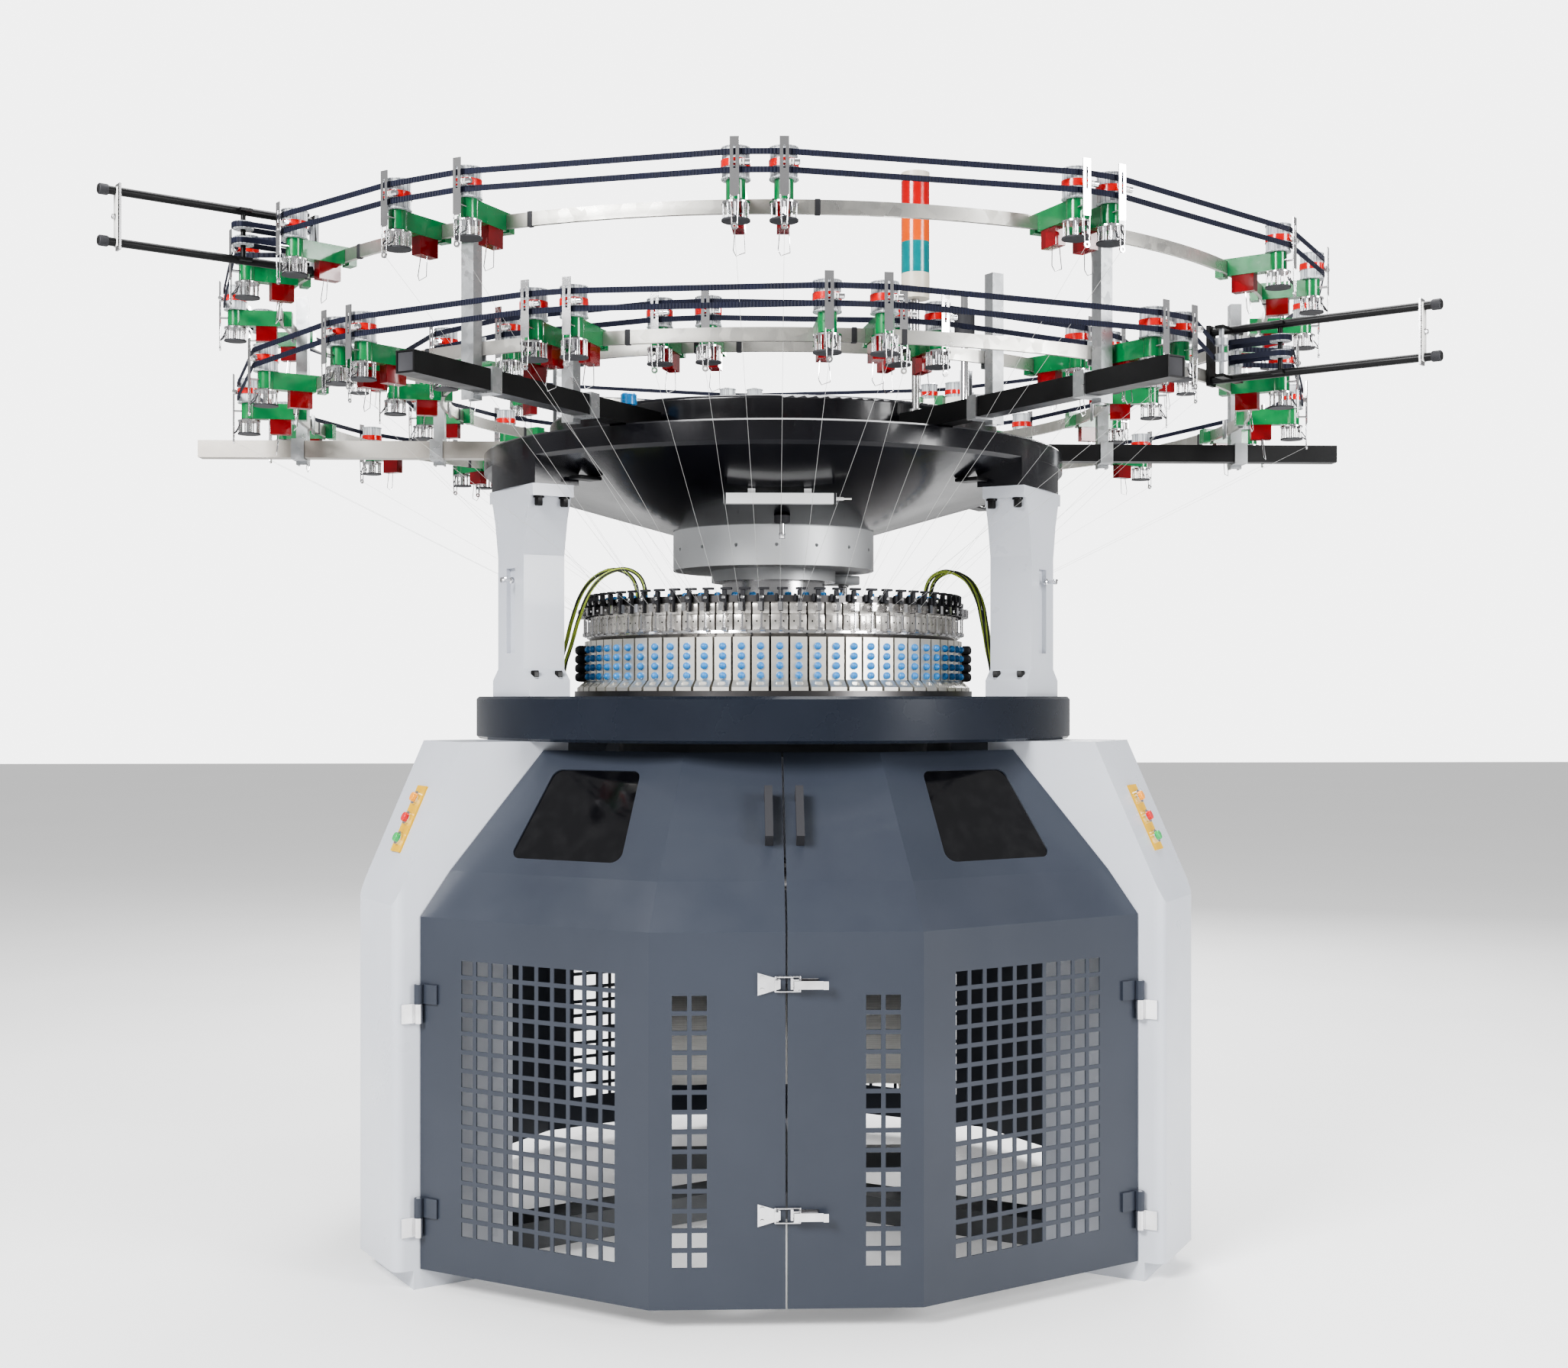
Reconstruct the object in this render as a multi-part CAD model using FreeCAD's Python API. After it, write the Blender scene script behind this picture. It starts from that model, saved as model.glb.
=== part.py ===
"""Large-diameter circular knitting machine, modelled as separate pieces in millimetres.

The origin is on the machine's axis at floor level. +Z is up and -Y is the front.
An azimuth is counted in degrees from the front (-Y) towards the right (+X).
Pieces are first drawn at azimuth 0, where x runs sideways and the radius runs along -Y,
and are then turned to their own azimuth.
"""
import FreeCAD, Part
import math
import os

V = FreeCAD.Vector
UP = V(0, 0, 1)
ORIGIN = V(0, 0, 0)

# ---- general clearances -----------------------------------------------------------------
RUNNING_FIT = 0.05          # radial clearance of a shaft in its bore
SEAT_GAP = 0.3              # left between curved faces that rest on each other
LEG_AZIMUTHS = (-60.0, 60.0, 180.0)

# ---- base, legs and bed -----------------------------------------------------------------
LEG_RADIUS = 982.0          # outer face of a leg
LEG_HALF_WIDTH = 112.0
LEG_INNER_RADIUS = 720.0
LEG_WALL = 14.0
LEG_FOLD_Z = 792.0          # above this the outer face leans inwards
LEG_TOP_RADIUS = 832.0
LEG_HEAD_RADIUS = 590.0     # the inner end of the head under the bed
LEG_HEAD_DEPTH = 130.0
FOOT_HEIGHT = 40.0
FOOT_STEP = 42.0
LEG_RIDGE_RADIUS = 22.0
BASE_BEAM_WIDTH = 100.0
BASE_BEAM_BOTTOM = 20.0
BASE_BEAM_TOP = 80.0
BASE_HUB_RADIUS = 150.0
BASE_FOOT_RADIUS = 70.0
BASE_PIN_RADIUS = 40.0
BASE_PIN_TOP = 116.0
BED_RADIUS = 697.0
BED_BOTTOM = 1126.0
BED_TOP = 1222.0
BED_EDGE_CHAMFER = 6.0
BED_LIP_THICKNESS = 6.0
BED_LIP_OVERLAP = 35.0      # how far the lip reaches in under the gear

# ---- rotating group ---------------------------------------------------------------------
GEAR_TEETH = 120
PINION_TEETH = 15
GEAR_MODULE = 20.0 / 3.0
TOOTH_BACKLASH = 0.9        # taken off each side of every tooth
GEAR_THICKNESS = 34.0
GEAR_LIFT = 2.0             # gear's underside above the bed's lip
CYLINDER_RADIUS = 381.0
CYLINDER_WALL = 35.0
CYLINDER_HEIGHT = 184.0
VERGE_HEIGHT = 8.0
VERGE_STEP = 3.0
TAKEDOWN_RING_WALL = 19.0
TAKEDOWN_RING_CLEARANCE = 7.0
TAKEDOWN_RING_HEIGHT = 44.0
TAKEDOWN_PLATE = 12.0
TAKEDOWN_DEPTH = 160.0
TAKEDOWN_SPAN = 330.0       # side plate's middle from the axis
TAKEDOWN_BEAM_HEIGHT = 34.0
TAKEDOWN_BEAM_DEPTH = 80.0
TAKEDOWN_HUB_RADIUS = 62.0
ROLLER_RADIUS = 35.0
ROLLER_NIP = 10.0
ROLLER_Z = 800.0
ROLLER_JOURNAL = 12.0
ROLL_RADIUS = 120.0
ROLL_Z = 420.0
ROLL_JOURNAL = 15.0
ROLLER_END_GAP = 5.0

# ---- drive ------------------------------------------------------------------------------
DRIVE_AZIMUTH = 120.0
DRIVE_SHAFT_RADIUS = 15.0
MOTOR_RADIUS = 88.0
MOTOR_HEIGHT = 280.0
MOTOR_FLANGE_CLEARANCE = 8.0
MOTOR_NECK_RADIUS = 62.0
MOTOR_FLANGE_THICKNESS = 16.0
MOTOR_NECK_HEIGHT = 60.0
PINION_POCKET_GAP = 4.0

# ---- knitting head ----------------------------------------------------------------------
BLOCK_COUNT = 68
CAM_RING_THICKNESS = 12.0
CAM_RING_RADIUS = 470.0
CAM_RUNNING_GAP = 3.0       # between the cylinder and its cam blocks
BLOCK_RADIUS = 446.0
BLOCK_HEIGHT = 116.0
BLOCK_SIDE_GAP = 2.3
FOOT_REACH = 18.0
BLOCK_FOOT_HEIGHT = 24.0
FOOT_SLOT_RADIUS = 4.0
FOOT_SLOT_LENGTH = 10.0
KNOB_RADIUS = 8.0
KNOB_REACH = 10.0
KNOB_ROWS = (33.0, 54.0, 75.0, 96.0)
DIAL_RADIUS = 380.0
DIAL_THICKNESS = 8.5
DIAL_GAP = 1.5              # above the cylinder and below the dial cam blocks
SPINDLE_RADIUS = 60.0
SPINDLE_TOP = 1700.0
DIAL_BLOCK_RADIUS = 430.0
DIAL_BLOCK_TOP = 1425.0
DIAL_RING_THICKNESS = 15.0
DIAL_RING_RADIUS = 432.0
DIAL_RING_BORE = 70.0
GUIDE_REACH = 32.0
GUIDE_HEIGHT = 18.0
GUIDE_HALF_WIDTH = 5.0
GUIDE_EYE_RADIUS = 2.5

# ---- columns, dome and hub --------------------------------------------------------------
COLUMN_RADIUS = 627.0
COLUMN_DEPTH = 96.0
COLUMN_HALF_WIDTH = 69.0
COLUMN_BASE_HALF_WIDTH = 98.0
COLUMN_TOP_HALF_WIDTH = 116.0
COLUMN_BASE_THICKNESS = 35.0
COLUMN_TOP_THICKNESS = 26.0
COLUMN_FLARE_HEIGHT = 150.0
COLUMN_TOP = 1678.0
DOME_RADIUS = 680.0
DOME_TOP = 1783.0
DOME_RIM_BOTTOM = 1731.0
DOME_WALL = 15.0
DOME_FLOOR_RADIUS = 250.0
DOME_FLOOR_Z = 1610.0
DOME_BORE = 90.0
DOME_MOUTH_RADIUS = 500.0
COVER_RADIUS = 528.0
COVER_HEIGHT = 73.0
COVER_WALL = 8.0
HUB_UPPER_RADIUS = 238.0
HUB_UPPER_BOTTOM = 1519.0
HUB_LOWER_RADIUS = 147.0
HUB_LOWER_BOTTOM = 1492.0
HUB_HOLES = 16
HUB_HOLE_RADIUS = 4.0
HOUSING_RADIUS = 122.0
LAMP_LENGTH = 241.0
LAMP_RADIUS = 451.0
LAMP_SIZE = 22.0
LAMP_DROP = 9.0

# ---- support arms, posts and feeder rings -----------------------------------------------
ARM_AZIMUTHS = (-150.0, -90.0, -30.0, 30.0, 90.0, 150.0)
ARM_SIZE = 40.0
ARM_WALL = 3.0
ARM_START = 540.0
ARM_END = 1350.0
BAR_THICKNESS = 8.0
BAR_HEIGHT = 25.0
UPPER_RING_RADIUS = 1136.0
UPPER_RING_Z = 2086.0
MIDDLE_RING_RADIUS = 1100.0
MIDDLE_RING_Z = 1868.0
INNER_RING_RADIUS = 777.0
INNER_RING_Z = 1910.0
POST_WIDTH = 28.0
POST_WALL = 4.0
POST_ARM_GAP = 0.5
OUTER_POST_TOP = 2169.0
INNER_POST_TOP = 1967.0
TALL_POST_TOP = 2077.0
TALL_POST_AZIMUTH = 30.0
INNER_POST_DEPTH = 26.0
POST_DROP = 12.0            # a post ends this far below its arm
STRAP_THICKNESS = 4.0
STRAP_WIDTH = 30.0

# ---- yarn feeders -----------------------------------------------------------------------
UPPER_FEEDERS = (-84.0, -61.5, -49.8, -35.1, -27.6, -4.7, -0.9, 23.9, 27.4, 52.2, 64.9, 84.0)
MIDDLE_FEEDERS = (-82.0, -61.2, -45.0, -41.4, -22.3, -18.6, 2.7, 7.5, 33.9, 37.6, 58.4, 82.0)
INNER_FEEDERS = (-77.0, -52.0, -38.2, -16.0, -9.8, 14.0, 19.4, 43.0, 51.0, 77.0)
UPPER_TURNING = -0.9        # the feeder of each ring whose rotor is a body of its own
MIDDLE_TURNING = 2.7
INNER_TURNING = 14.0
FEEDER_REACH = 105.0        # rotor axis outside the bar's middle line
HOUSING_HALF_WIDTH = 13.0
HOUSING_BOSS_RADIUS = 17.0
HOUSING_TOP = 17.0
HOUSING_BOTTOM = -18.0
HOUSING_BACK = 22.0
BAR_SLOT_GAP = 0.4
ROTOR_SHAFT_RADIUS = 6.0
PULLEY_RADIUS = 24.0
PULLEY_FLANGE = 1.5
CLUTCH_RADIUS = 26.0
LOWER_BELT_Z = 29.0
UPPER_BELT_Z = 60.0
BELT_WIDTH = 10.0
BELT_THICKNESS = 2.4
ROTOR_TOP = 72.0
PIN_WHEEL_TOP = -21.0
PIN_WHEEL_BOTTOM = -53.0
PIN_WHEEL_RADIUS = 25.0
PIN_CIRCLE = 22.0
PIN_RADIUS = 1.6
PIN_COUNT = 10
STOP_BOX_HALF_WIDTH = 11.0
STOP_BOX_LENGTH = 46.0
STOP_BOX_HEIGHT = 34.0
BRACKET_HALF_WIDTH = 8.0
BRACKET_TOP = 83.0
BRACKET_SHEET = 2.0
BRACKET_STANDOFF = 33.0     # bracket's sheet outside the rotor axis
GUIDE_BOTTOM = -75.0
GUIDE_WIRE_RADIUS = 1.2
GUIDE_EYELET_RADIUS = 6.0

# ---- belt tensioners --------------------------------------------------------------------
UPPER_TENSIONER = -55.6
MIDDLE_TENSIONER = 51.2
TENSIONER_END = 1569.0
TENSIONER_ROD_RADIUS = 8.0
TENSIONER_UPPER_ROD = 89.0
TENSIONER_LOWER_ROD = -8.0
TENSIONER_BRACKET = 8.0
INNER_IDLER_REACH = 47.0
OUTER_IDLER_REACH = 154.0
INNER_IDLER_RADIUS = 13.0
OUTER_IDLER_RADIUS = 20.0
IDLER_SPREAD = 37.0
IDLER_PIN_RADIUS = 5.0

# ---- doors and guards -------------------------------------------------------------------
SHEET = 3.0
DOOR_FRONT = 840.0          # front facet's outer face from the axis
DOOR_FRONT_HALF_WIDTH = 265.0
DOOR_BOTTOM = 42.0
DOOR_FOLD_Z = 768.0
DOOR_CREASE_Z = 860.0
DOOR_CREASE_IN = 57.0
DOOR_TOP = 1107.0
DOOR_TOP_IN = 240.0
DOOR_SEAM = 2.0             # half of the gap between the two doors
DOOR_LEG_GAP = 3.0
DOOR_FLANGE = 18.0
VENT_SIDE_COLUMNS = 10
VENT_SIDE_ROWS = 15
VENT_FRONT_COLUMNS = 2
VENT_FRONT_ROWS = 14
VENT_HOLE = 29.0
VENT_PITCH = 38.0
VENT_SIDE_START = 78.0
VENT_FRONT_MIDDLE = 187.0
VENT_BOTTOM = 123.0
WINDOW_BOTTOM = 890.0
WINDOW_TOP = 1068.0
WINDOW_CORNER_IN = 95.0     # window from the fold beside the front
WINDOW_TOP_IN = 68.0        # window's upper and lower corner from the edge beside the leg
WINDOW_BOTTOM_IN = 121.0
WINDOW_CORNER = 22.0
WINDOW_THICKNESS = 4.0
WINDOW_LAP = 12.0
HINGE_ZS = (151.0, 590.0)
HINGE_HEIGHT = 80.0
HINGE_GAP = 0.6
KNUCKLE_RADIUS = 9.0
HINGE_PIN_RADIUS = 5.0
HINGE_STANDOFF = 10.0       # hinge axis outside the door's face
HINGE_ALONG = 3.5           # hinge axis in from the door's edge
LEAF_LENGTH = 46.0
LEAF_THICKNESS = 5.0
HANDLE_X = 31.0
HANDLE_LENGTH = 120.0
HANDLE_RISE = 36.0
HANDLE_BAR = 16.0
HANDLE_Z = 974.0

# ---- toggle latches ---------------------------------------------------------------------
LATCH_ZS = (223.0, 668.0)
CATCH_START = 12.0
CATCH_LENGTH = 44.0
CATCH_NARROW = 9.0
CATCH_WIDE = 22.0
CATCH_THICKNESS = 3.0
HOOK_HEIGHT = 11.0
BAIL_WIRE = 1.8
BAIL_HALF_WIDTH = 14.0
BAIL_HOOK_X = -22.0
BAIL_PIVOT_X = 26.0
BAIL_STANDOFF = 5.2
LEVER_PIVOT_X = 18.0
LEVER_PIVOT_STANDOFF = 12.0
LEVER_PIN_RADIUS = 2.5
LEVER_LENGTH = 62.0
LEVER_HALF_WIDTH = 8.0
LEVER_SHEET = 2.5
EAR_THICKNESS = 2.5

# ---- push buttons -----------------------------------------------------------------------
BUTTON_PLATE_WIDTH = 52.0
BUTTON_PLATE_LENGTH = 150.0
BUTTON_PLATE_THICKNESS = 4.0
BUTTON_PLATE_Z = 962.0
BUTTON_PITCH = 46.0
BUTTON_RADIUS = 10.0
BUTTON_SIDE_GAP = 0.4
BUTTON_STANDOFF = 4.6
BUTTON_HEIGHT = 9.0
BUTTON_STEM = 4.0
BUTTON_STEM_LENGTH = 26.0
BEZEL_RADIUS = 14.5
BEZEL_HEIGHT = 6.0

# ---- signal tower, cables and yarns -----------------------------------------------------
TOWER_ARM = 30.0
TOWER_RADIUS_FROM_AXIS = 572.0
TOWER_POLE_RADIUS = 8.0
TOWER_POLE_TOP = 2063.0
TOWER_RADIUS = 30.0
TOWER_MODULES = (53.0, 66.0, 74.0, 55.0, 18.0)
TOWER_FOOT_RADIUS = 18.0
TOWER_FOOT_HEIGHT = 6.0
CABLE_RADIUS = 5.0
CABLE_ROUTES = ((-46.0, -66.0), (-50.0, -70.0), (56.0, 70.0), (60.0, 74.0))  # at dial, at bed
YARN_RADIUS = 0.7
YARN_COLUMN_KEEPOUT = 16.0  # degrees either side of a column with no yarn
YARN_FEEDER_KEEPOUT = 2.2   # degrees either side of a lower feeder with no upper yarn

# ---- worked-out sizes -------------------------------------------------------------------
BED_LIP_TOP = BED_BOTTOM + BED_LIP_THICKNESS
GEAR_BOTTOM = BED_LIP_TOP + GEAR_LIFT
GEAR_TOP = GEAR_BOTTOM + GEAR_THICKNESS
GEAR_PITCH_RADIUS = GEAR_MODULE * GEAR_TEETH / 2
GEAR_TIP_RADIUS = GEAR_PITCH_RADIUS + GEAR_MODULE
PINION_PITCH_RADIUS = GEAR_MODULE * PINION_TEETH / 2
PINION_TIP_RADIUS = PINION_PITCH_RADIUS + GEAR_MODULE
DRIVE_RADIUS = GEAR_PITCH_RADIUS + PINION_PITCH_RADIUS
BED_BORE = GEAR_TIP_RADIUS + 8.0
BED_LIP_RADIUS = GEAR_TIP_RADIUS - BED_LIP_OVERLAP
CYLINDER_BORE = CYLINDER_RADIUS - CYLINDER_WALL
CYLINDER_TOP = GEAR_TOP + CYLINDER_HEIGHT
CAM_RING_TOP = BED_TOP + CAM_RING_THICKNESS
BLOCK_INNER = CYLINDER_RADIUS + CAM_RUNNING_GAP
BLOCK_TOP = CAM_RING_TOP + BLOCK_HEIGHT
DIAL_BOTTOM = CYLINDER_TOP + DIAL_GAP
DIAL_TOP = DIAL_BOTTOM + DIAL_THICKNESS
DIAL_BLOCK_BOTTOM = DIAL_TOP + DIAL_GAP
DIAL_RING_TOP = DIAL_BLOCK_TOP + DIAL_RING_THICKNESS
ARM_Z = DOME_TOP + ARM_SIZE / 2
PULLEY_GAP = SEAT_GAP
TAKEDOWN_RING_RADIUS = BED_LIP_RADIUS - TAKEDOWN_RING_CLEARANCE
TAKEDOWN_RING_BOTTOM = GEAR_BOTTOM - TAKEDOWN_RING_HEIGHT
TAKEDOWN_BEAM_BOTTOM = BASE_BEAM_TOP + 30.0
MOTOR_FLANGE_RADIUS = DRIVE_RADIUS - TAKEDOWN_RING_RADIUS - MOTOR_FLANGE_CLEARANCE
ROLLER_END = TAKEDOWN_SPAN - TAKEDOWN_PLATE / 2 - ROLLER_END_GAP
BUTTON_TILT = math.degrees(math.atan2(LEG_RADIUS - LEG_TOP_RADIUS, BED_BOTTOM - LEG_FOLD_Z))
GUARD_LEG_GAP = SHEET / 2 + SEAT_GAP
DOOR_UPPER_TILT = math.degrees(math.atan2(DOOR_TOP_IN - DOOR_CREASE_IN, DOOR_TOP - DOOR_CREASE_Z))


# ---- drawing helpers --------------------------------------------------------------------
def cylinder(radius, bottom, top, x=0.0, y=0.0):
    """A round bar that stands on the plane z = bottom."""
    return Part.makeCylinder(radius, top - bottom, V(x, y, bottom))


def ring(outer, inner, bottom, top):
    """A flat ring about the machine's axis."""
    return cylinder(outer, bottom, top).cut(cylinder(inner, bottom - 1, top + 1))


def block(x0, x1, y0, y1, z0, z1):
    """A box between two corners."""
    return Part.makeBox(x1 - x0, y1 - y0, z1 - z0, V(x0, y0, z0))


def radial_block(r0, r1, half_width, z0, z1, middle=0.0):
    """A box at azimuth 0 that reaches from radius r0 to radius r1."""
    return block(middle - half_width, middle + half_width, -r1, -r0, z0, z1)


def rod(start, end, radius):
    """A round bar between two points."""
    return Part.makeCylinder(radius, (end - start).Length, start, end - start)


def polygon_face(points):
    """A flat face with straight edges through the points."""
    return Part.Face(Part.makePolygon(list(points) + [points[0]]))


def turned(shape, azimuth):
    """A copy of a shape turned about the machine's axis."""
    copy = shape.copy()
    copy.rotate(ORIGIN, UP, azimuth)
    return copy


def mirrored(shape):
    """The same shape on the other side of the plane x = 0."""
    return shape.mirror(ORIGIN, V(1, 0, 0))


def polar(radius, azimuth, z=0.0):
    """A point given by radius, azimuth and height."""
    angle = math.radians(azimuth)
    return V(radius * math.sin(angle), -radius * math.cos(angle), z)


def fused(shapes):
    """One solid made of shapes that touch or overlap, joined one after another."""
    joined = shapes[0]
    for shape in shapes[1:]:
        joined = joined.fuse(shape)
    return joined.removeSplitter()


def save(name, *shapes):
    """Write one node as a group of separate solids."""
    solids = [solid for shape in shapes for solid in shape.Solids]
    shape = solids[0] if len(solids) == 1 else Part.makeCompound(solids)
    shape.exportStep("parts/" + name + ".step")
    print(name, len(solids), "solids", round(sum(s.Volume for s in solids) / 1e6, 3), "litres")


def tilted(shape, angle, radius, z):
    """Lean a shape drawn round the origin back by an angle, and move it out to a radius."""
    copy = shape.copy()
    copy.rotate(ORIGIN, V(1, 0, 0), -angle)
    copy.translate(V(0, -radius, z))
    return copy


def rounded_path(points, bend_limit=0.45):
    """Straight runs through the points, joined by arcs as large as the runs allow."""
    edges = []
    start = points[0]
    for before, corner, after in zip(points, points[1:], points[2:]):
        inward = (corner - before).normalize()
        outward = (after - corner).normalize()
        half_turn = inward.getAngle(outward) / 2
        trim = bend_limit * min((corner - before).Length, (after - corner).Length)
        first = corner - inward * trim
        last = corner + outward * trim
        bisector = (outward - inward).normalize()
        radius = trim / math.tan(half_turn)
        centre = corner + bisector * (radius / math.cos(half_turn))
        edges.append(Part.LineSegment(start, first).toShape())
        edges.append(Part.Arc(first, centre - bisector * radius, last).toShape())
        start = last
        print("  bend radius", round(radius, 1))
    edges.append(Part.LineSegment(start, points[-1]).toShape())
    return Part.Wire(edges)


def tube_along(points, radius):
    """A solid round cord along a rounded path."""
    path = rounded_path(points)
    direction = points[1] - points[0]
    section = Part.Wire(Part.Circle(points[0], direction, radius).toShape())
    tube = path.makePipeShell([section], True, True)
    print("  tube volume over section times length",
          round(tube.Volume / (math.pi * radius ** 2 * path.Length), 4))
    return tube


# ---- base, legs and bed -----------------------------------------------------------------
def base_frame():
    """Three beams from the middle to the legs, with the pin that the take-down turns on."""
    beams = [turned(radial_block(0, LEG_INNER_RADIUS + LEG_WALL, BASE_BEAM_WIDTH / 2,
                                 BASE_BEAM_BOTTOM, BASE_BEAM_TOP), azimuth)
             for azimuth in LEG_AZIMUTHS]
    hub = cylinder(BASE_HUB_RADIUS, BASE_BEAM_BOTTOM, BASE_BEAM_TOP)
    foot = cylinder(BASE_FOOT_RADIUS, 0, BASE_BEAM_BOTTOM)
    pin = cylinder(BASE_PIN_RADIUS, BASE_BEAM_TOP, BASE_PIN_TOP)
    return fused(beams + [hub, foot, pin])


def leg_profile(inset):
    """Side outline of a leg as (radius, height) pairs, drawn inwards by an inset."""
    return [
        (LEG_INNER_RADIUS - (LEG_WALL if inset else 0), inset and FOOT_HEIGHT + inset),
        (LEG_RADIUS - FOOT_STEP, inset and FOOT_HEIGHT + inset),
        (LEG_RADIUS - FOOT_STEP, FOOT_HEIGHT + inset),
        (LEG_RADIUS - inset, FOOT_HEIGHT + inset),
        (LEG_RADIUS - inset, LEG_FOLD_Z),
        (LEG_TOP_RADIUS - inset, BED_BOTTOM - inset),
        (LEG_HEAD_RADIUS - inset, BED_BOTTOM - inset),
        (LEG_HEAD_RADIUS - inset, BED_BOTTOM - LEG_HEAD_DEPTH + inset),
        (LEG_INNER_RADIUS - (LEG_WALL if inset else 0), BED_BOTTOM - 2 * LEG_HEAD_DEPTH + inset),
    ]


def leg_outline(inset):
    """Leg profile as points at azimuth 0, with repeated points left out."""
    points = []
    for radius, height in leg_profile(inset):
        point = V(0, -radius, height)
        if not points or (point - points[-1]).Length > 0.01:
            points.append(point)
    return points


def leg():
    """A cast leg: a wedge box that is open towards the machine's axis."""
    body = polygon_face(leg_outline(0)).extrude(V(2 * LEG_HALF_WIDTH, 0, 0))
    body.translate(V(-LEG_HALF_WIDTH, 0, 0))
    ridges = [edge for edge in body.Edges
              if edge.BoundBox.YMax < -LEG_TOP_RADIUS - 1 and edge.BoundBox.ZLength > LEG_HEAD_DEPTH
              and edge.BoundBox.XLength < 0.01]
    body = body.makeFillet(LEG_RIDGE_RADIUS, ridges)
    inner_half_width = LEG_HALF_WIDTH - LEG_WALL
    cavity = polygon_face(leg_outline(LEG_WALL)).extrude(V(2 * inner_half_width, 0, 0))
    cavity.translate(V(-inner_half_width, 0, 0))
    return body.cut(cavity)


def button_frame(shape, offset, azimuth):
    """Put a shape drawn against a vertical front face on a leg's leaning face."""
    share = (BUTTON_PLATE_Z - LEG_FOLD_Z) / (BED_BOTTOM - LEG_FOLD_Z)
    radius = LEG_RADIUS - share * (LEG_RADIUS - LEG_TOP_RADIUS)
    moved = shape.copy()
    moved.translate(V(0, 0, offset))
    return turned(tilted(moved, BUTTON_TILT, radius, BUTTON_PLATE_Z), azimuth)


def legs():
    """The three legs, with holes for the button stems in the two front ones."""
    stem_hole = rod(V(0, -1, 0), V(0, BUTTON_STEM_LENGTH + LEG_WALL, 0), BUTTON_STEM + 2)
    made = []
    for azimuth in LEG_AZIMUTHS:
        body = turned(leg(), azimuth)
        if abs(azimuth) < 90:
            holes = [button_frame(stem_hole, row * BUTTON_PITCH, azimuth) for row in (-1, 0, 1)]
            body = body.cut(Part.makeCompound(holes))
        beam_seat = turned(radial_block(LEG_INNER_RADIUS - 2 * LEG_WALL, LEG_INNER_RADIUS + LEG_WALL,
                                        BASE_BEAM_WIDTH / 2, BASE_BEAM_BOTTOM, BASE_BEAM_TOP), azimuth)
        made.append(body.cut(beam_seat))
    return made


def bed_plate():
    """The round bed, with a lip under the gear and a pocket for the pinion."""
    plate = cylinder(BED_RADIUS, BED_BOTTOM, BED_TOP)
    rims = [edge for edge in plate.Edges if edge.BoundBox.XLength > BED_RADIUS]
    plate = plate.makeChamfer(BED_EDGE_CHAMFER, rims)
    plate = plate.cut(cylinder(BED_BORE, BED_LIP_TOP, BED_TOP + 1))
    plate = plate.cut(cylinder(BED_LIP_RADIUS, BED_BOTTOM - 1, BED_LIP_TOP + 1))
    middle = polar(DRIVE_RADIUS, DRIVE_AZIMUTH)
    pocket = cylinder(PINION_TIP_RADIUS + PINION_POCKET_GAP, BED_BOTTOM - 1,
                      GEAR_TOP + PINION_POCKET_GAP, middle.x, middle.y)
    return plate.cut(pocket)


# ---- rotating group ---------------------------------------------------------------------
def gear_blank(teeth, phase):
    """Outline of a gear with straight-sided teeth, as a face on the plane z = 0."""
    pitch_radius = GEAR_MODULE * teeth / 2
    slope = math.tan(math.radians(20.0))
    half_pitch = math.pi * GEAR_MODULE / 4 - TOOTH_BACKLASH
    points = []
    for tooth in range(teeth):
        middle = 360.0 * tooth / teeth + phase
        for side in (-1, 1):
            rises = (-1.25, 1.0) if side < 0 else (1.0, -1.25)
            for rise in rises:
                radius = pitch_radius + rise * GEAR_MODULE
                half_width = half_pitch - rise * GEAR_MODULE * slope
                points.append(polar(radius, middle + side * math.degrees(half_width / radius)))
    return polygon_face(points)


def cylinder_gear():
    """The ring gear that carries the needle cylinder."""
    wheel = gear_blank(GEAR_TEETH, 0.0).extrude(V(0, 0, GEAR_THICKNESS))
    wheel.translate(V(0, 0, GEAR_BOTTOM))
    return wheel.cut(cylinder(CYLINDER_BORE, GEAR_BOTTOM - 1, GEAR_TOP + 1))


def drive_pinion():
    """The pinion and its upright shaft, with a tooth in the gear's nearest space."""
    space = 180.0 / GEAR_TEETH
    gear_phase = (DRIVE_AZIMUTH + 0.5 * 360.0 / GEAR_TEETH) % (360.0 / GEAR_TEETH) - space
    facing = DRIVE_AZIMUTH + 180.0 + gear_phase * GEAR_TEETH / PINION_TEETH
    tooth_phase = facing + 180.0 / PINION_TEETH
    wheel = gear_blank(PINION_TEETH, tooth_phase).extrude(V(0, 0, GEAR_THICKNESS))
    middle = polar(DRIVE_RADIUS, DRIVE_AZIMUTH)
    wheel.translate(V(middle.x, middle.y, GEAR_BOTTOM))
    shaft_bottom = BED_BOTTOM - MOTOR_FLANGE_THICKNESS - MOTOR_NECK_HEIGHT
    shaft = cylinder(DRIVE_SHAFT_RADIUS, shaft_bottom, GEAR_TOP, middle.x, middle.y)
    return fused([wheel, shaft])


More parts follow.
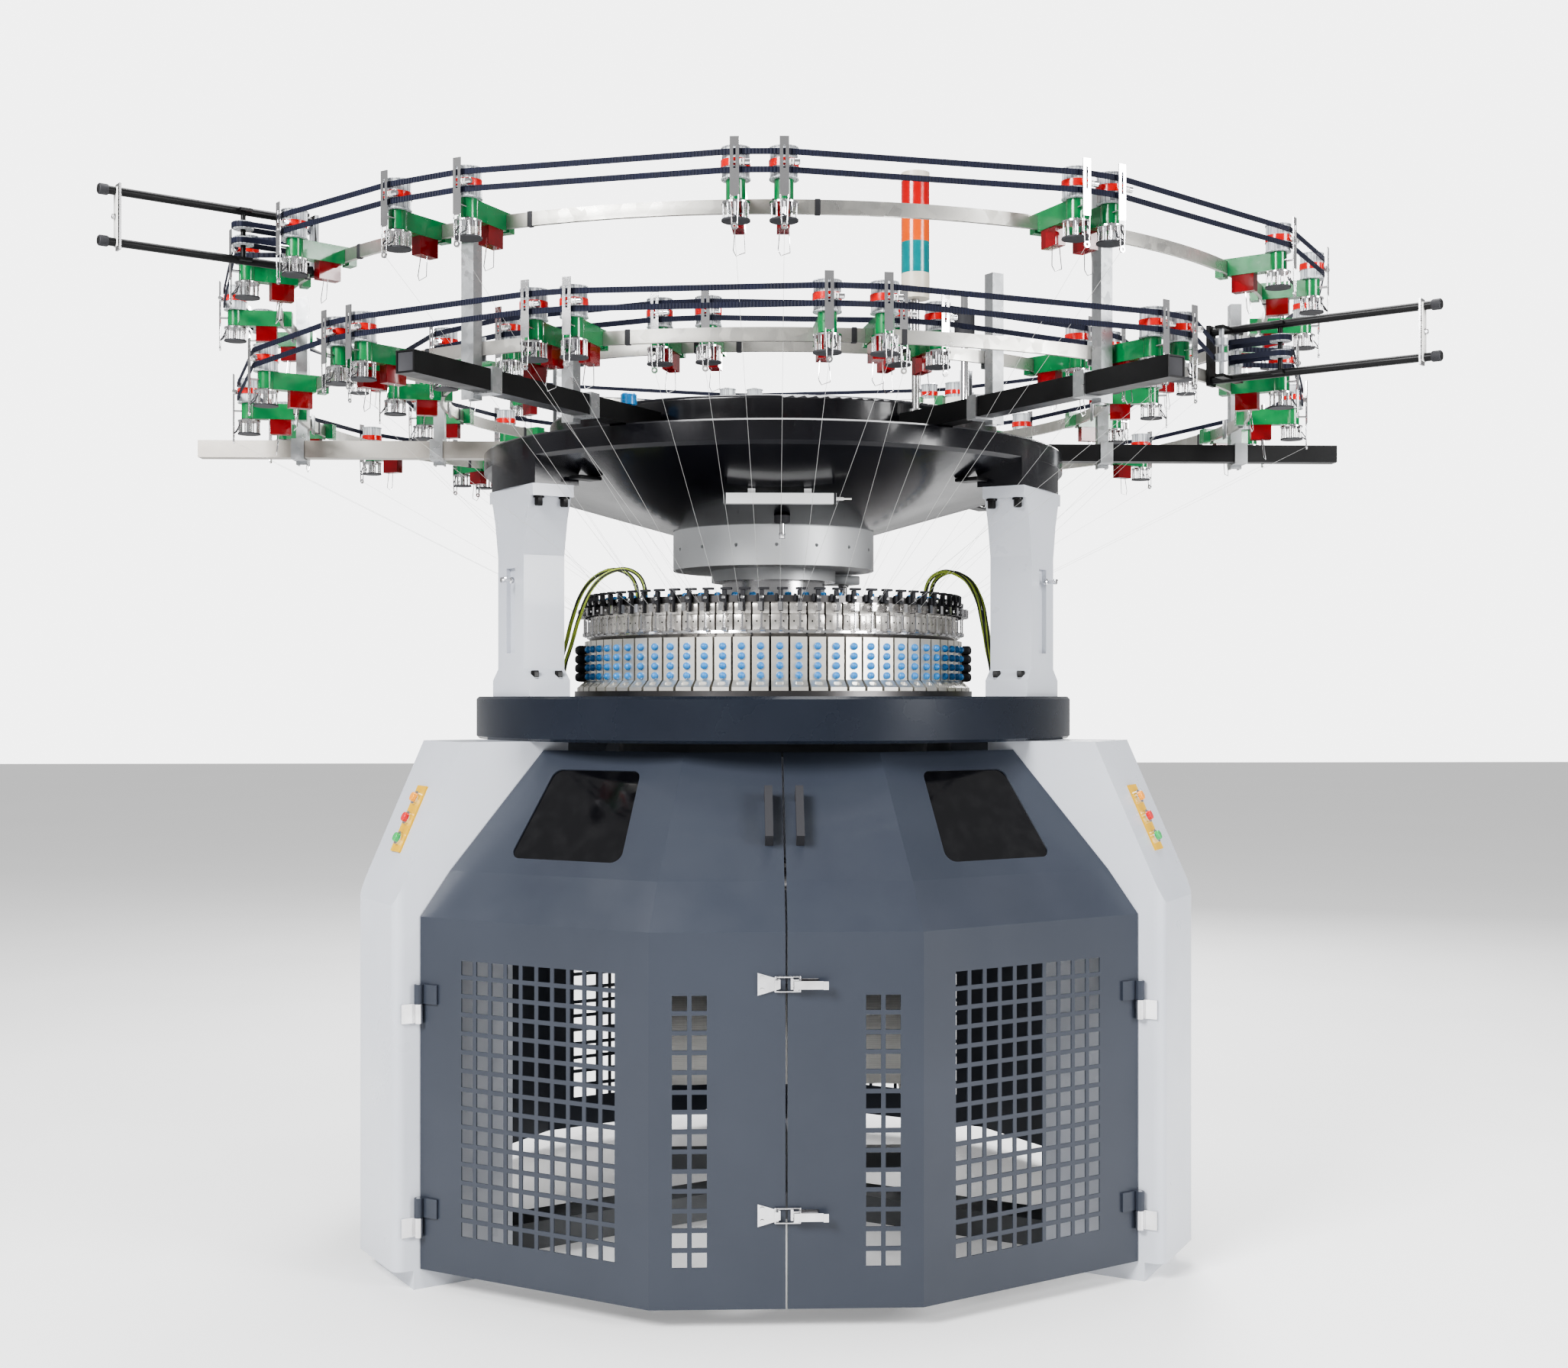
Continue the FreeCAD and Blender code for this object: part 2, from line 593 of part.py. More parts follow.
def drive_motor():
    """The motor that hangs under the bed, with a bore for the pinion's shaft."""
    middle = polar(DRIVE_RADIUS, DRIVE_AZIMUTH)
    flange_bottom = BED_BOTTOM - MOTOR_FLANGE_THICKNESS
    neck_bottom = flange_bottom - MOTOR_NECK_HEIGHT
    flange = cylinder(MOTOR_FLANGE_RADIUS, flange_bottom, BED_BOTTOM, middle.x, middle.y)
    neck = cylinder(MOTOR_NECK_RADIUS, neck_bottom, flange_bottom, middle.x, middle.y)
    case = cylinder(MOTOR_RADIUS, neck_bottom - MOTOR_HEIGHT, neck_bottom, middle.x, middle.y)
    bore = cylinder(DRIVE_SHAFT_RADIUS + RUNNING_FIT, neck_bottom, BED_BOTTOM + 1,
                    middle.x, middle.y)
    return fused([flange, neck, case]).cut(bore)


def needle_cylinder():
    """The needle cylinder, with the narrower verge at its top."""
    wall = ring(CYLINDER_RADIUS, CYLINDER_BORE, GEAR_TOP, CYLINDER_TOP)
    verge = ring(CYLINDER_RADIUS + 1, CYLINDER_RADIUS - VERGE_STEP,
                 CYLINDER_TOP - VERGE_HEIGHT, CYLINDER_TOP + 1)
    return wall.cut(verge)


def takedown_frame():
    """The frame under the cylinder that turns with the fabric."""
    collar = ring(TAKEDOWN_RING_RADIUS, TAKEDOWN_RING_RADIUS - TAKEDOWN_RING_WALL,
                  TAKEDOWN_RING_BOTTOM, GEAR_BOTTOM)
    outer = TAKEDOWN_SPAN + TAKEDOWN_PLATE / 2
    inner = TAKEDOWN_SPAN - TAKEDOWN_PLATE / 2
    pieces = [collar]
    for side in (-1, 1):
        x0, x1 = sorted((side * inner, side * outer))
        pieces.append(block(x0, x1, -TAKEDOWN_DEPTH / 2, TAKEDOWN_DEPTH / 2,
                            TAKEDOWN_BEAM_BOTTOM, TAKEDOWN_RING_BOTTOM + TAKEDOWN_PLATE))
        x2, x3 = sorted((side * inner, side * TAKEDOWN_RING_RADIUS))
        cap = block(x2, x3, -TAKEDOWN_DEPTH / 2, TAKEDOWN_DEPTH / 2,
                    TAKEDOWN_RING_BOTTOM, TAKEDOWN_RING_BOTTOM + TAKEDOWN_PLATE)
        pieces.append(cap.common(cylinder(TAKEDOWN_RING_RADIUS, TAKEDOWN_RING_BOTTOM, GEAR_BOTTOM)))
    pieces.append(block(-outer, outer, -TAKEDOWN_BEAM_DEPTH / 2, TAKEDOWN_BEAM_DEPTH / 2,
                        TAKEDOWN_BEAM_BOTTOM, TAKEDOWN_BEAM_BOTTOM + TAKEDOWN_BEAM_HEIGHT))
    pieces.append(cylinder(TAKEDOWN_HUB_RADIUS, BASE_BEAM_TOP + SEAT_GAP,
                           TAKEDOWN_BEAM_BOTTOM + TAKEDOWN_BEAM_HEIGHT))
    frame = fused(pieces)
    frame = frame.cut(cylinder(BASE_PIN_RADIUS + RUNNING_FIT, BASE_BEAM_TOP, BASE_PIN_TOP + 2))
    return frame.cut(Part.makeCompound(journal_bores()))


def roller_places():
    """Height, offset and radii of each roller: (y, z, radius, journal radius)."""
    offset = ROLLER_RADIUS + ROLLER_NIP / 2
    return {
        "takedown_roller_front": (-offset, ROLLER_Z, ROLLER_RADIUS, ROLLER_JOURNAL),
        "takedown_roller_rear": (offset, ROLLER_Z, ROLLER_RADIUS, ROLLER_JOURNAL),
        "fabric_roll": (0.0, ROLL_Z, ROLL_RADIUS, ROLL_JOURNAL),
    }


def journal_bores():
    """The bores in the take-down frame's side plates."""
    reach = TAKEDOWN_SPAN + TAKEDOWN_PLATE
    return [rod(V(-reach, y, z), V(reach, y, z), journal + RUNNING_FIT)
            for y, z, _, journal in roller_places().values()]


def roller(y, z, radius, journal):
    """A roller with a journal at each end."""
    reach = TAKEDOWN_SPAN + TAKEDOWN_PLATE / 2
    body = rod(V(-ROLLER_END, y, z), V(ROLLER_END, y, z), radius)
    shaft = rod(V(-reach, y, z), V(reach, y, z), journal)
    return fused([body, shaft])


# ---- knitting head ----------------------------------------------------------------------
def wedge(inner, outer, z0, z1):
    """One segment of the ring of cam blocks, as wide as the ring's pitch allows."""
    half_angle = math.tan(math.pi / BLOCK_COUNT)
    inner_half = inner * half_angle - BLOCK_SIDE_GAP
    outer_half = outer * half_angle - BLOCK_SIDE_GAP
    points = [V(-inner_half, -inner, z0), V(inner_half, -inner, z0),
              V(outer_half, -outer, z0), V(-outer_half, -outer, z0)]
    return polygon_face(points).extrude(V(0, 0, z1 - z0))


def round_the_head(shape):
    """One copy of a shape for every cam block."""
    return [turned(shape, 360.0 * step / BLOCK_COUNT) for step in range(BLOCK_COUNT)]


def cylinder_cam_block():
    """A cam block with an outward foot and a slot for its screw."""
    body = wedge(BLOCK_INNER, BLOCK_RADIUS, CAM_RING_TOP, BLOCK_TOP)
    foot_half = BLOCK_RADIUS * math.tan(math.pi / BLOCK_COUNT) - BLOCK_SIDE_GAP
    outline = [V(-foot_half, -BLOCK_RADIUS, CAM_RING_TOP),
               V(-foot_half, -BLOCK_RADIUS - FOOT_REACH, CAM_RING_TOP),
               V(-foot_half, -BLOCK_RADIUS - FOOT_REACH, CAM_RING_TOP + BLOCK_FOOT_HEIGHT / 3),
               V(-foot_half, -BLOCK_RADIUS, CAM_RING_TOP + BLOCK_FOOT_HEIGHT)]
    foot = polygon_face(outline).extrude(V(2 * foot_half, 0, 0))
    slot_radius = BLOCK_RADIUS + FOOT_REACH / 2
    ends = [cylinder(FOOT_SLOT_RADIUS, CAM_RING_TOP - 1, BLOCK_TOP, side * FOOT_SLOT_LENGTH / 2,
                     -slot_radius) for side in (-1, 1)]
    middle = block(-FOOT_SLOT_LENGTH / 2, FOOT_SLOT_LENGTH / 2, -slot_radius - FOOT_SLOT_RADIUS,
                   -slot_radius + FOOT_SLOT_RADIUS, CAM_RING_TOP - 1, BLOCK_TOP)
    return fused([body, foot.cut(fused(ends + [middle]))])


def cam_knobs():
    """The column of domed knobs on one cam block."""
    made = []
    for height in KNOB_ROWS:
        z = CAM_RING_TOP + height
        straight_end = BLOCK_RADIUS + KNOB_REACH - KNOB_RADIUS
        stem = rod(V(0, -BLOCK_RADIUS, z), V(0, -straight_end, z), KNOB_RADIUS)
        dome = Part.makeSphere(KNOB_RADIUS, V(0, -straight_end, z))
        behind = block(-KNOB_RADIUS, KNOB_RADIUS, -BLOCK_RADIUS, -BLOCK_RADIUS + KNOB_RADIUS,
                       z - KNOB_RADIUS, z + KNOB_RADIUS)
        made.append(fused([stem, dome.cut(behind)]))
    return Part.makeCompound(made)


def dial():
    """The dial plate with its spindle."""
    plate = cylinder(DIAL_RADIUS, DIAL_BOTTOM, DIAL_TOP)
    spindle = cylinder(SPINDLE_RADIUS, DIAL_BOTTOM, SPINDLE_TOP)
    return fused([plate, spindle])


def yarn_guide():
    """The small carrier plate outside one dial cam block, with its eye."""
    top = DIAL_BLOCK_TOP - 1
    plate = radial_block(DIAL_BLOCK_RADIUS, DIAL_BLOCK_RADIUS + GUIDE_REACH, GUIDE_HALF_WIDTH,
                         top - GUIDE_HEIGHT, top)
    x = GUIDE_HALF_WIDTH + 1
    y = -DIAL_BLOCK_RADIUS - GUIDE_REACH + 3 * GUIDE_EYE_RADIUS
    z = top - GUIDE_HEIGHT / 2
    return plate.cut(rod(V(-x, y, z), V(x, y, z), GUIDE_EYE_RADIUS))


# ---- columns, dome and hub --------------------------------------------------------------
def column():
    """A cast column, flared to a flange at each end."""
    height = COLUMN_TOP - BED_TOP
    neck = COLUMN_BASE_THICKNESS + 25.0
    right = [
        (COLUMN_BASE_HALF_WIDTH, 0.0),
        (COLUMN_BASE_HALF_WIDTH, COLUMN_BASE_THICKNESS),
        (COLUMN_HALF_WIDTH, neck),
        (COLUMN_HALF_WIDTH, height - COLUMN_FLARE_HEIGHT),
        ((COLUMN_HALF_WIDTH + COLUMN_TOP_HALF_WIDTH) / 2 - 8, height - COLUMN_FLARE_HEIGHT / 2),
        (COLUMN_TOP_HALF_WIDTH - 14, height - COLUMN_TOP_THICKNESS),
        (COLUMN_TOP_HALF_WIDTH, height - COLUMN_TOP_THICKNESS),
        (COLUMN_TOP_HALF_WIDTH, height),
    ]
    left = [(-x, z) for x, z in reversed(right)]
    y = -COLUMN_RADIUS - COLUMN_DEPTH / 2
    outline = [V(x, y, BED_TOP + z) for x, z in right + left]
    body = polygon_face(outline).extrude(V(0, COLUMN_DEPTH, 0))
    slim = COLUMN_DEPTH / 2 - 10.0
    side_z0 = BED_TOP + COLUMN_BASE_THICKNESS
    side_z1 = COLUMN_TOP - COLUMN_TOP_THICKNESS
    for edge_y in (-COLUMN_RADIUS - slim - 10.0, -COLUMN_RADIUS + slim):
        recess = block(-COLUMN_HALF_WIDTH / 3, COLUMN_HALF_WIDTH / 3, edge_y, edge_y + 10.0,
                       side_z0 + neck, side_z1 - COLUMN_FLARE_HEIGHT)
        body = body.cut(recess) if edge_y < -COLUMN_RADIUS else body
    return body


def dome_underside(radius):
    """Height of the dome's cone at a radius."""
    share = (radius - DOME_FLOOR_RADIUS) / (DOME_RADIUS - 8.0 - DOME_FLOOR_RADIUS)
    return DOME_FLOOR_Z + share * (DOME_RIM_BOTTOM - DOME_FLOOR_Z)


def upper_dome():
    """The dished casting on the columns, with a boss over each column."""
    outline = [
        (DOME_BORE, DOME_FLOOR_Z), (DOME_FLOOR_RADIUS, DOME_FLOOR_Z),
        (DOME_RADIUS - 8.0, DOME_RIM_BOTTOM), (DOME_RADIUS, DOME_RIM_BOTTOM + 8.0),
        (DOME_RADIUS, DOME_TOP - 4.0), (DOME_RADIUS - 4.0, DOME_TOP),
        (DOME_MOUTH_RADIUS, DOME_TOP), (DOME_MOUTH_RADIUS, DOME_TOP - DOME_WALL),
        (DOME_RADIUS - DOME_WALL, DOME_TOP - DOME_WALL),
        (DOME_RADIUS - DOME_WALL, DOME_RIM_BOTTOM + DOME_WALL),
        (DOME_FLOOR_RADIUS, DOME_FLOOR_Z + DOME_WALL), (DOME_BORE, DOME_FLOOR_Z + DOME_WALL),
    ]
    face = polygon_face([V(r, 0, z) for r, z in outline])
    shell = face.revolve(ORIGIN, UP, 360.0)
    inner = COLUMN_RADIUS - COLUMN_DEPTH / 2 - 12.0
    bosses = []
    for azimuth in LEG_AZIMUTHS:
        boss = radial_block(inner, DOME_RADIUS + 20.0, COLUMN_TOP_HALF_WIDTH, COLUMN_TOP,
                            DOME_RIM_BOTTOM + DOME_WALL / 2)
        bosses.append(turned(boss, azimuth).common(cylinder(DOME_RADIUS, COLUMN_TOP, DOME_TOP)))
    return fused([shell] + bosses)


def top_cover():
    """The round cover over the dome's mouth."""
    top = DOME_TOP + COVER_HEIGHT
    shell = cylinder(COVER_RADIUS, DOME_TOP, top)
    shell = shell.makeFillet(COVER_WALL, [e for e in shell.Edges if e.BoundBox.ZMin > top - 1])
    return shell.cut(cylinder(COVER_RADIUS - COVER_WALL, DOME_TOP - 1, top - COVER_WALL))


def hub_discs():
    """The two stacked discs under the dome, with sighting holes round the upper one."""
    upper = ring(HUB_UPPER_RADIUS, DOME_BORE, HUB_UPPER_BOTTOM, DOME_FLOOR_Z)
    z = (HUB_UPPER_BOTTOM + DOME_FLOOR_Z) / 2
    depth = 12.0
    hole = rod(V(0, -HUB_UPPER_RADIUS - 1, z), V(0, -HUB_UPPER_RADIUS + depth, z), HUB_HOLE_RADIUS)
    holes = [turned(hole, 360.0 * step / HUB_HOLES) for step in range(HUB_HOLES)]
    lower = ring(HUB_LOWER_RADIUS, HOUSING_RADIUS, HUB_LOWER_BOTTOM, HUB_UPPER_BOTTOM)
    return [upper.cut(Part.makeCompound(holes)), lower]


def dial_housing():
    """The steel sleeve that the dial's spindle turns in."""
    sleeve = cylinder(HOUSING_RADIUS, DIAL_RING_TOP, HUB_UPPER_BOTTOM)
    collar = cylinder(DOME_BORE - 1.0, HUB_UPPER_BOTTOM, DOME_FLOOR_Z + DOME_WALL)
    bore = cylinder(SPINDLE_RADIUS + RUNNING_FIT, DIAL_RING_TOP - 1, SPINDLE_TOP)
    return fused([sleeve, collar]).cut(bore)


def lamp_bar():
    """The straight work lamp under the dome, on two tabs."""
    inner = LAMP_RADIUS - LAMP_SIZE / 2
    top = dome_underside(inner) - LAMP_DROP
    bar = radial_block(inner, inner + LAMP_SIZE, LAMP_LENGTH / 2, top - LAMP_SIZE, top)
    tabs = []
    for side in (-1, 1):
        tab_top = dome_underside(math.hypot(inner + 4.0, LAMP_LENGTH / 4 - 8.0)) - SEAT_GAP
        tabs.append(radial_block(inner + 4.0, inner + 10.0, 8.0, top - 1, tab_top,
                                 side * LAMP_LENGTH / 4))
    return fused([bar] + tabs)


# ---- arms, posts and rings --------------------------------------------------------------
def post_side(azimuth):
    """Which side of its arm a post stands on: always the side away from the front or rear."""
    side = 1 if azimuth > 0 else -1
    return side if abs(azimuth) <= 90 else -side


def support_arms():
    """Six square tubes on the dome's rim."""
    half = ARM_SIZE / 2
    tube = radial_block(ARM_START, ARM_END, half, ARM_Z - half, ARM_Z + half)
    hollow = radial_block(ARM_START - 1, ARM_END + 1, half - ARM_WALL, ARM_Z - half + ARM_WALL,
                          ARM_Z + half - ARM_WALL)
    return [turned(tube.cut(hollow), azimuth) for azimuth in ARM_AZIMUTHS]


def post_middle():
    """Sideways distance from an arm's middle to a post's middle."""
    return ARM_SIZE / 2 + POST_ARM_GAP + POST_WIDTH / 2


def chord_radius(radius, sideways):
    """Radial distance of a circle's point that lies a given way to the side."""
    return math.sqrt(radius ** 2 - sideways ** 2)


def outer_post_span():
    """Radii between which an outer post fits: outside the middle ring, inside the upper."""
    far_side = post_middle() + POST_WIDTH / 2
    inside = MIDDLE_RING_RADIUS + BAR_THICKNESS / 2 + SEAT_GAP
    outside = chord_radius(UPPER_RING_RADIUS - BAR_THICKNESS / 2, far_side) - SEAT_GAP
    return inside, outside


def inner_post_span():
    """Radii of an inner post, just outside the inner ring."""
    inside = INNER_RING_RADIUS + BAR_THICKNESS / 2 + SEAT_GAP
    return inside, inside + INNER_POST_DEPTH


def post(span, top, azimuth):
    """A channel that stands beside an arm, open away from the arm."""
    side = post_side(azimuth)
    middle = side * post_middle()
    bottom = ARM_Z - ARM_SIZE / 2 - POST_DROP
    outside = radial_block(span[0], span[1], POST_WIDTH / 2, bottom, top, middle)
    hollow = radial_block(span[0] + POST_WALL, span[1] - POST_WALL, POST_WIDTH / 2, bottom - 1,
                          top + 1, middle + side * POST_WALL)
    return turned(outside.cut(hollow), azimuth)


def strap(span, azimuth):
    """A bent strap round the three free sides of an arm, against its post."""
    side = post_side(azimuth)
    middle = (span[0] + span[1]) / 2
    r0, r1 = middle - STRAP_WIDTH / 2, middle + STRAP_WIDTH / 2
    inside = ARM_SIZE / 2 + SEAT_GAP
    outside = inside + STRAP_THICKNESS
    post_face = ARM_SIZE / 2 + POST_ARM_GAP
    x0, x1 = sorted((-side * outside, side * post_face))
    shell = block(x0, x1, -r1, -r0, ARM_Z - outside, ARM_Z + outside)
    x2, x3 = sorted((-side * inside, side * (post_face + 1)))
    hollow = block(x2, x3, -r1 - 1, -r0 + 1, ARM_Z - inside, ARM_Z + inside)
    return turned(shell.cut(hollow), azimuth)


def ring_posts():
    """Outer and inner posts of all six arms, with their straps."""
    posts = []
    straps = []
    for azimuth in ARM_AZIMUTHS:
        inner_top = TALL_POST_TOP if azimuth == TALL_POST_AZIMUTH else INNER_POST_TOP
        for span, top in ((outer_post_span(), OUTER_POST_TOP), (inner_post_span(), inner_top)):
            posts.append(post(span, top, azimuth))
            straps.append(strap(span, azimuth))
    return posts, straps


def bar_ring(radius, z):
    """A feeder ring rolled from flat bar."""
    return ring(radius + BAR_THICKNESS / 2, radius - BAR_THICKNESS / 2,
                z - BAR_HEIGHT / 2, z + BAR_HEIGHT / 2)


# ---- yarn feeders -----------------------------------------------------------------------
FEEDER_RINGS = {
    "upper": (UPPER_RING_RADIUS, UPPER_RING_Z, UPPER_FEEDERS, UPPER_TURNING),
    "middle": (MIDDLE_RING_RADIUS, MIDDLE_RING_Z, MIDDLE_FEEDERS, MIDDLE_TURNING),
    "inner": (INNER_RING_RADIUS, INNER_RING_Z, INNER_FEEDERS, INNER_TURNING),
}


def all_round(front):
    """The azimuths of a ring's feeders: those in front and the same again behind."""
    return list(front) + [math.copysign(180.0, a) - a for a in front]


def feeder_housing(radius, z):
    """A feeder's housing, hooked over the bar and bored for its rotor."""
    axis = radius + FEEDER_REACH
    back = radial_block(radius - HOUSING_BACK, axis, HOUSING_HALF_WIDTH, z + HOUSING_BOTTOM,
                        z + HOUSING_TOP)
    boss = cylinder(HOUSING_BOSS_RADIUS, z + HOUSING_BOTTOM, z + HOUSING_TOP, 0, -axis)
    slot = ring(radius + BAR_THICKNESS / 2 + BAR_SLOT_GAP, radius - BAR_THICKNESS / 2 - BAR_SLOT_GAP,
                z + HOUSING_BOTTOM - 1, z + BAR_HEIGHT / 2 + BAR_SLOT_GAP)
    bore = cylinder(ROTOR_SHAFT_RADIUS + RUNNING_FIT, z + HOUSING_BOTTOM - 1, z + HOUSING_TOP + 1,
                    0, -axis)
    return fused([back, boss]).cut(slot).cut(bore)


def feeder_stop_box(radius, z):
    """The box under a housing that holds the stop-motion lamp."""
    start = radius + BAR_THICKNESS / 2 + 8.0
    return radial_block(start, start + STOP_BOX_LENGTH, STOP_BOX_HALF_WIDTH,
                        z + HOUSING_BOTTOM - STOP_BOX_HEIGHT, z + HOUSING_BOTTOM)


def feeder_rotor(radius, z):
    """A feeder's pin wheel, two belt pulleys and clutch disc on their shaft."""
    y = -radius - FEEDER_REACH
    lower = HOUSING_TOP + 0.5
    clutch_bottom = LOWER_BELT_Z + BELT_WIDTH / 2 + 3.0
    clutch_top = UPPER_BELT_Z - BELT_WIDTH / 2 - 5.0
    rounds = [
        (ROTOR_SHAFT_RADIUS, PIN_WHEEL_BOTTOM, ROTOR_TOP),
        (PULLEY_RADIUS, lower, clutch_bottom),
        (PULLEY_RADIUS + PULLEY_FLANGE, lower, lower + 2.0),
        (CLUTCH_RADIUS, clutch_bottom, clutch_top),
        (PULLEY_RADIUS, clutch_top, ROTOR_TOP),
        (PULLEY_RADIUS + PULLEY_FLANGE, ROTOR_TOP - 2.0, ROTOR_TOP),
        (PIN_WHEEL_RADIUS, PIN_WHEEL_TOP - 3.0, PIN_WHEEL_TOP),
        (PIN_WHEEL_RADIUS, PIN_WHEEL_BOTTOM, PIN_WHEEL_BOTTOM + 3.0),
    ]
    pieces = [cylinder(r, z + z0, z + z1, 0, y) for r, z0, z1 in rounds]
    for step in range(PIN_COUNT):
        offset = polar(PIN_CIRCLE, 360.0 * step / PIN_COUNT)
        pieces.append(cylinder(PIN_RADIUS, z + PIN_WHEEL_BOTTOM + 1, z + PIN_WHEEL_TOP - 1,
                               offset.x, y + offset.y))
    return fused(pieces)


def feeder_bracket(radius, z):
    """The bright sheet in front of the rotor, with its slot, and the wire guide below."""
    axis = radius + FEEDER_REACH
    sheet_r = axis + BRACKET_STANDOFF
    upright = radial_block(sheet_r, sheet_r + BRACKET_SHEET, BRACKET_HALF_WIDTH,
                           z + HOUSING_BOTTOM, z + BRACKET_TOP)
    slot = radial_block(sheet_r - 1, sheet_r + BRACKET_SHEET + 1, 2.0, z + LOWER_BELT_Z,
                        z + UPPER_BELT_Z + 8.0)
    shelf = radial_block(axis + HOUSING_BOSS_RADIUS - 1.0, sheet_r + BRACKET_SHEET,
                         BRACKET_HALF_WIDTH, z - 1.0, z + 1.0)
    boss_clearance = cylinder(HOUSING_BOSS_RADIUS + SEAT_GAP, z - 2, z + 2, 0, -axis)
    wire_y = -sheet_r - BRACKET_SHEET / 2
    eye_z = z + GUIDE_BOTTOM + GUIDE_EYELET_RADIUS
    start, end = V(0, wire_y + 1.5, eye_z), V(0, wire_y - 1.5, eye_z)
    eye = rod(start, end, GUIDE_EYELET_RADIUS).cut(rod(start, end, GUIDE_EYELET_RADIUS / 2))
    sides = [rod(V(side * (BRACKET_HALF_WIDTH - 1), wire_y, z + HOUSING_BOTTOM + 2),
                 V(side * 0.75 * GUIDE_EYELET_RADIUS, wire_y, eye_z), GUIDE_WIRE_RADIUS)
             for side in (-1, 1)]
    return fused([upright.cut(slot), shelf.cut(boss_clearance), eye] + sides)


def feeder_eye(radius, azimuth, z):
    """Middle of a feeder's lower eye."""
    reach = FEEDER_REACH + BRACKET_STANDOFF + BRACKET_SHEET / 2
    return polar(radius + reach, azimuth, z + GUIDE_BOTTOM + GUIDE_EYELET_RADIUS)


# ---- belts and tensioners ---------------------------------------------------------------
def idler_places(radius, azimuth):
    """Plan positions of a tensioner's two inner idlers and its outer idler."""
    inner = [turned_point(V(side * IDLER_SPREAD, -radius - INNER_IDLER_REACH, 0), azimuth)
             for side in (-1, 1)]
    outer = polar(radius + OUTER_IDLER_REACH, azimuth)
    return inner, outer


def turned_point(point, azimuth):
    """A point turned about the machine's axis."""
    return FreeCAD.Rotation(UP, azimuth).multVec(point)


def belt_stops(radius, feeders, tensioner):
    """Round things that a belt runs past, in order: (middle, radius, inside the loop)."""
    stops = [(azimuth, polar(radius + FEEDER_REACH, azimuth), PULLEY_RADIUS, True)
             for azimuth in feeders]
    if tensioner is not None:
        inner, outer = idler_places(radius, tensioner)
        stops.append((tensioner - 0.01, inner[0], INNER_IDLER_RADIUS, False))
        stops.append((tensioner, outer, OUTER_IDLER_RADIUS, True))
        stops.append((tensioner + 0.01, inner[1], INNER_IDLER_RADIUS, False))
    stops.sort(key=lambda stop: stop[0])
    return [stop[1:] for stop in stops]


def tangent_normals(first, second, r1, r2):
    """Unit vector from each middle to where the line between two rounds touches.

    A negative radius stands for a round that the line passes on its other side.
    """
    along = second - first
    length = along.Length
    along = along.normalize()
    right = V(along.y, -along.x, 0)
    lift = (r1 - r2) / length
    return right * math.sqrt(1 - lift ** 2) + along * lift


def belt_loop(stops, offset):
    """Closed outline of a belt's inner (offset 0) or outer face."""
    middles = [stop[0] for stop in stops]
    radii = [(r + PULLEY_GAP + offset) if inside else -(r + PULLEY_GAP + BELT_THICKNESS - offset)
             for _, r, inside in stops]
    count = len(stops)
    normals = [tangent_normals(middles[i], middles[(i + 1) % count], radii[i], radii[(i + 1) % count])
               for i in range(count)]
    edges = []
    for i in range(count):
        before, after = normals[i - 1], normals[i]
        start = middles[i] + before * radii[i]
        end = middles[i] + after * radii[i]
        bisector = (before + after).normalize()
        if (end - start).Length > 0.01:
            edges.append(Part.Arc(start, middles[i] + bisector * radii[i], end).toShape())
        following = middles[(i + 1) % count] + after * radii[(i + 1) % count]
        edges.append(Part.LineSegment(end, following).toShape())
    return Part.Wire(edges)


def belts(radius, z, feeders, tensioner):
    """The two belts of one ring."""
    stops = belt_stops(radius, feeders, tensioner)
    face = Part.Face(belt_loop(stops, BELT_THICKNESS)).cut(Part.Face(belt_loop(stops, 0.0)))
    made = []
    for height in (LOWER_BELT_Z, UPPER_BELT_Z):
        belt = face.extrude(V(0, 0, BELT_WIDTH))
        belt.translate(V(0, 0, z + height - BELT_WIDTH / 2))
        made.append(belt)
    return made


def tensioner_frame(radius, z, azimuth):
    """Bracket, two rods, end plate, carrier plates and idler pins of one tensioner."""
    inside = radius + BAR_THICKNESS / 2 + SEAT_GAP
    low = z + TENSIONER_LOWER_ROD
    high = z + TENSIONER_UPPER_ROD
    foot = radial_block(inside, inside + TENSIONER_BRACKET, 15.0, low - 12.0, high + 12.0)
    rods = [rod(V(0, -inside - TENSIONER_BRACKET / 2, height), V(0, -TENSIONER_END, height),
                TENSIONER_ROD_RADIUS) for height in (low, high)]
    plate_r = TENSIONER_END - 40.0
    end_plate = radial_block(plate_r, plate_r + 4.0, 12.0, low - 14.0, high + 14.0)
    pieces = [foot, end_plate] + rods
    inner, outer = idler_places(radius, 0.0)
    inner_r = radius + INNER_IDLER_REACH
    outer_r = radius + OUTER_IDLER_REACH
    half = IDLER_SPREAD + INNER_IDLER_RADIUS
    for z0, z1 in ((low - 3.0, low + 3.0), (high - 3.0, high + 3.0)):
        pieces.append(radial_block(inner_r - 9.0, inner_r + 9.0, half, z0, z1))
        pieces.append(radial_block(outer_r - 12.0, outer_r + 12.0, OUTER_IDLER_RADIUS, z0, z1))
    for point in inner + [outer]:
        pieces.append(cylinder(IDLER_PIN_RADIUS, low, high, point.x, point.y))
    return turned(fused(pieces), azimuth)


def idler_pair(point, radius, z):
    """The two pulleys that turn on one idler pin."""
    made = []
    for height in (LOWER_BELT_Z, UPPER_BELT_Z):
        middle = z + height
        half = BELT_WIDTH / 2 + 2.0
        wheel = cylinder(radius, middle - half, middle + half, point.x, point.y)
        bore = cylinder(IDLER_PIN_RADIUS + RUNNING_FIT, middle - half - 1, middle + half + 1,
                        point.x, point.y)
        made.append(wheel.cut(bore))
    return made


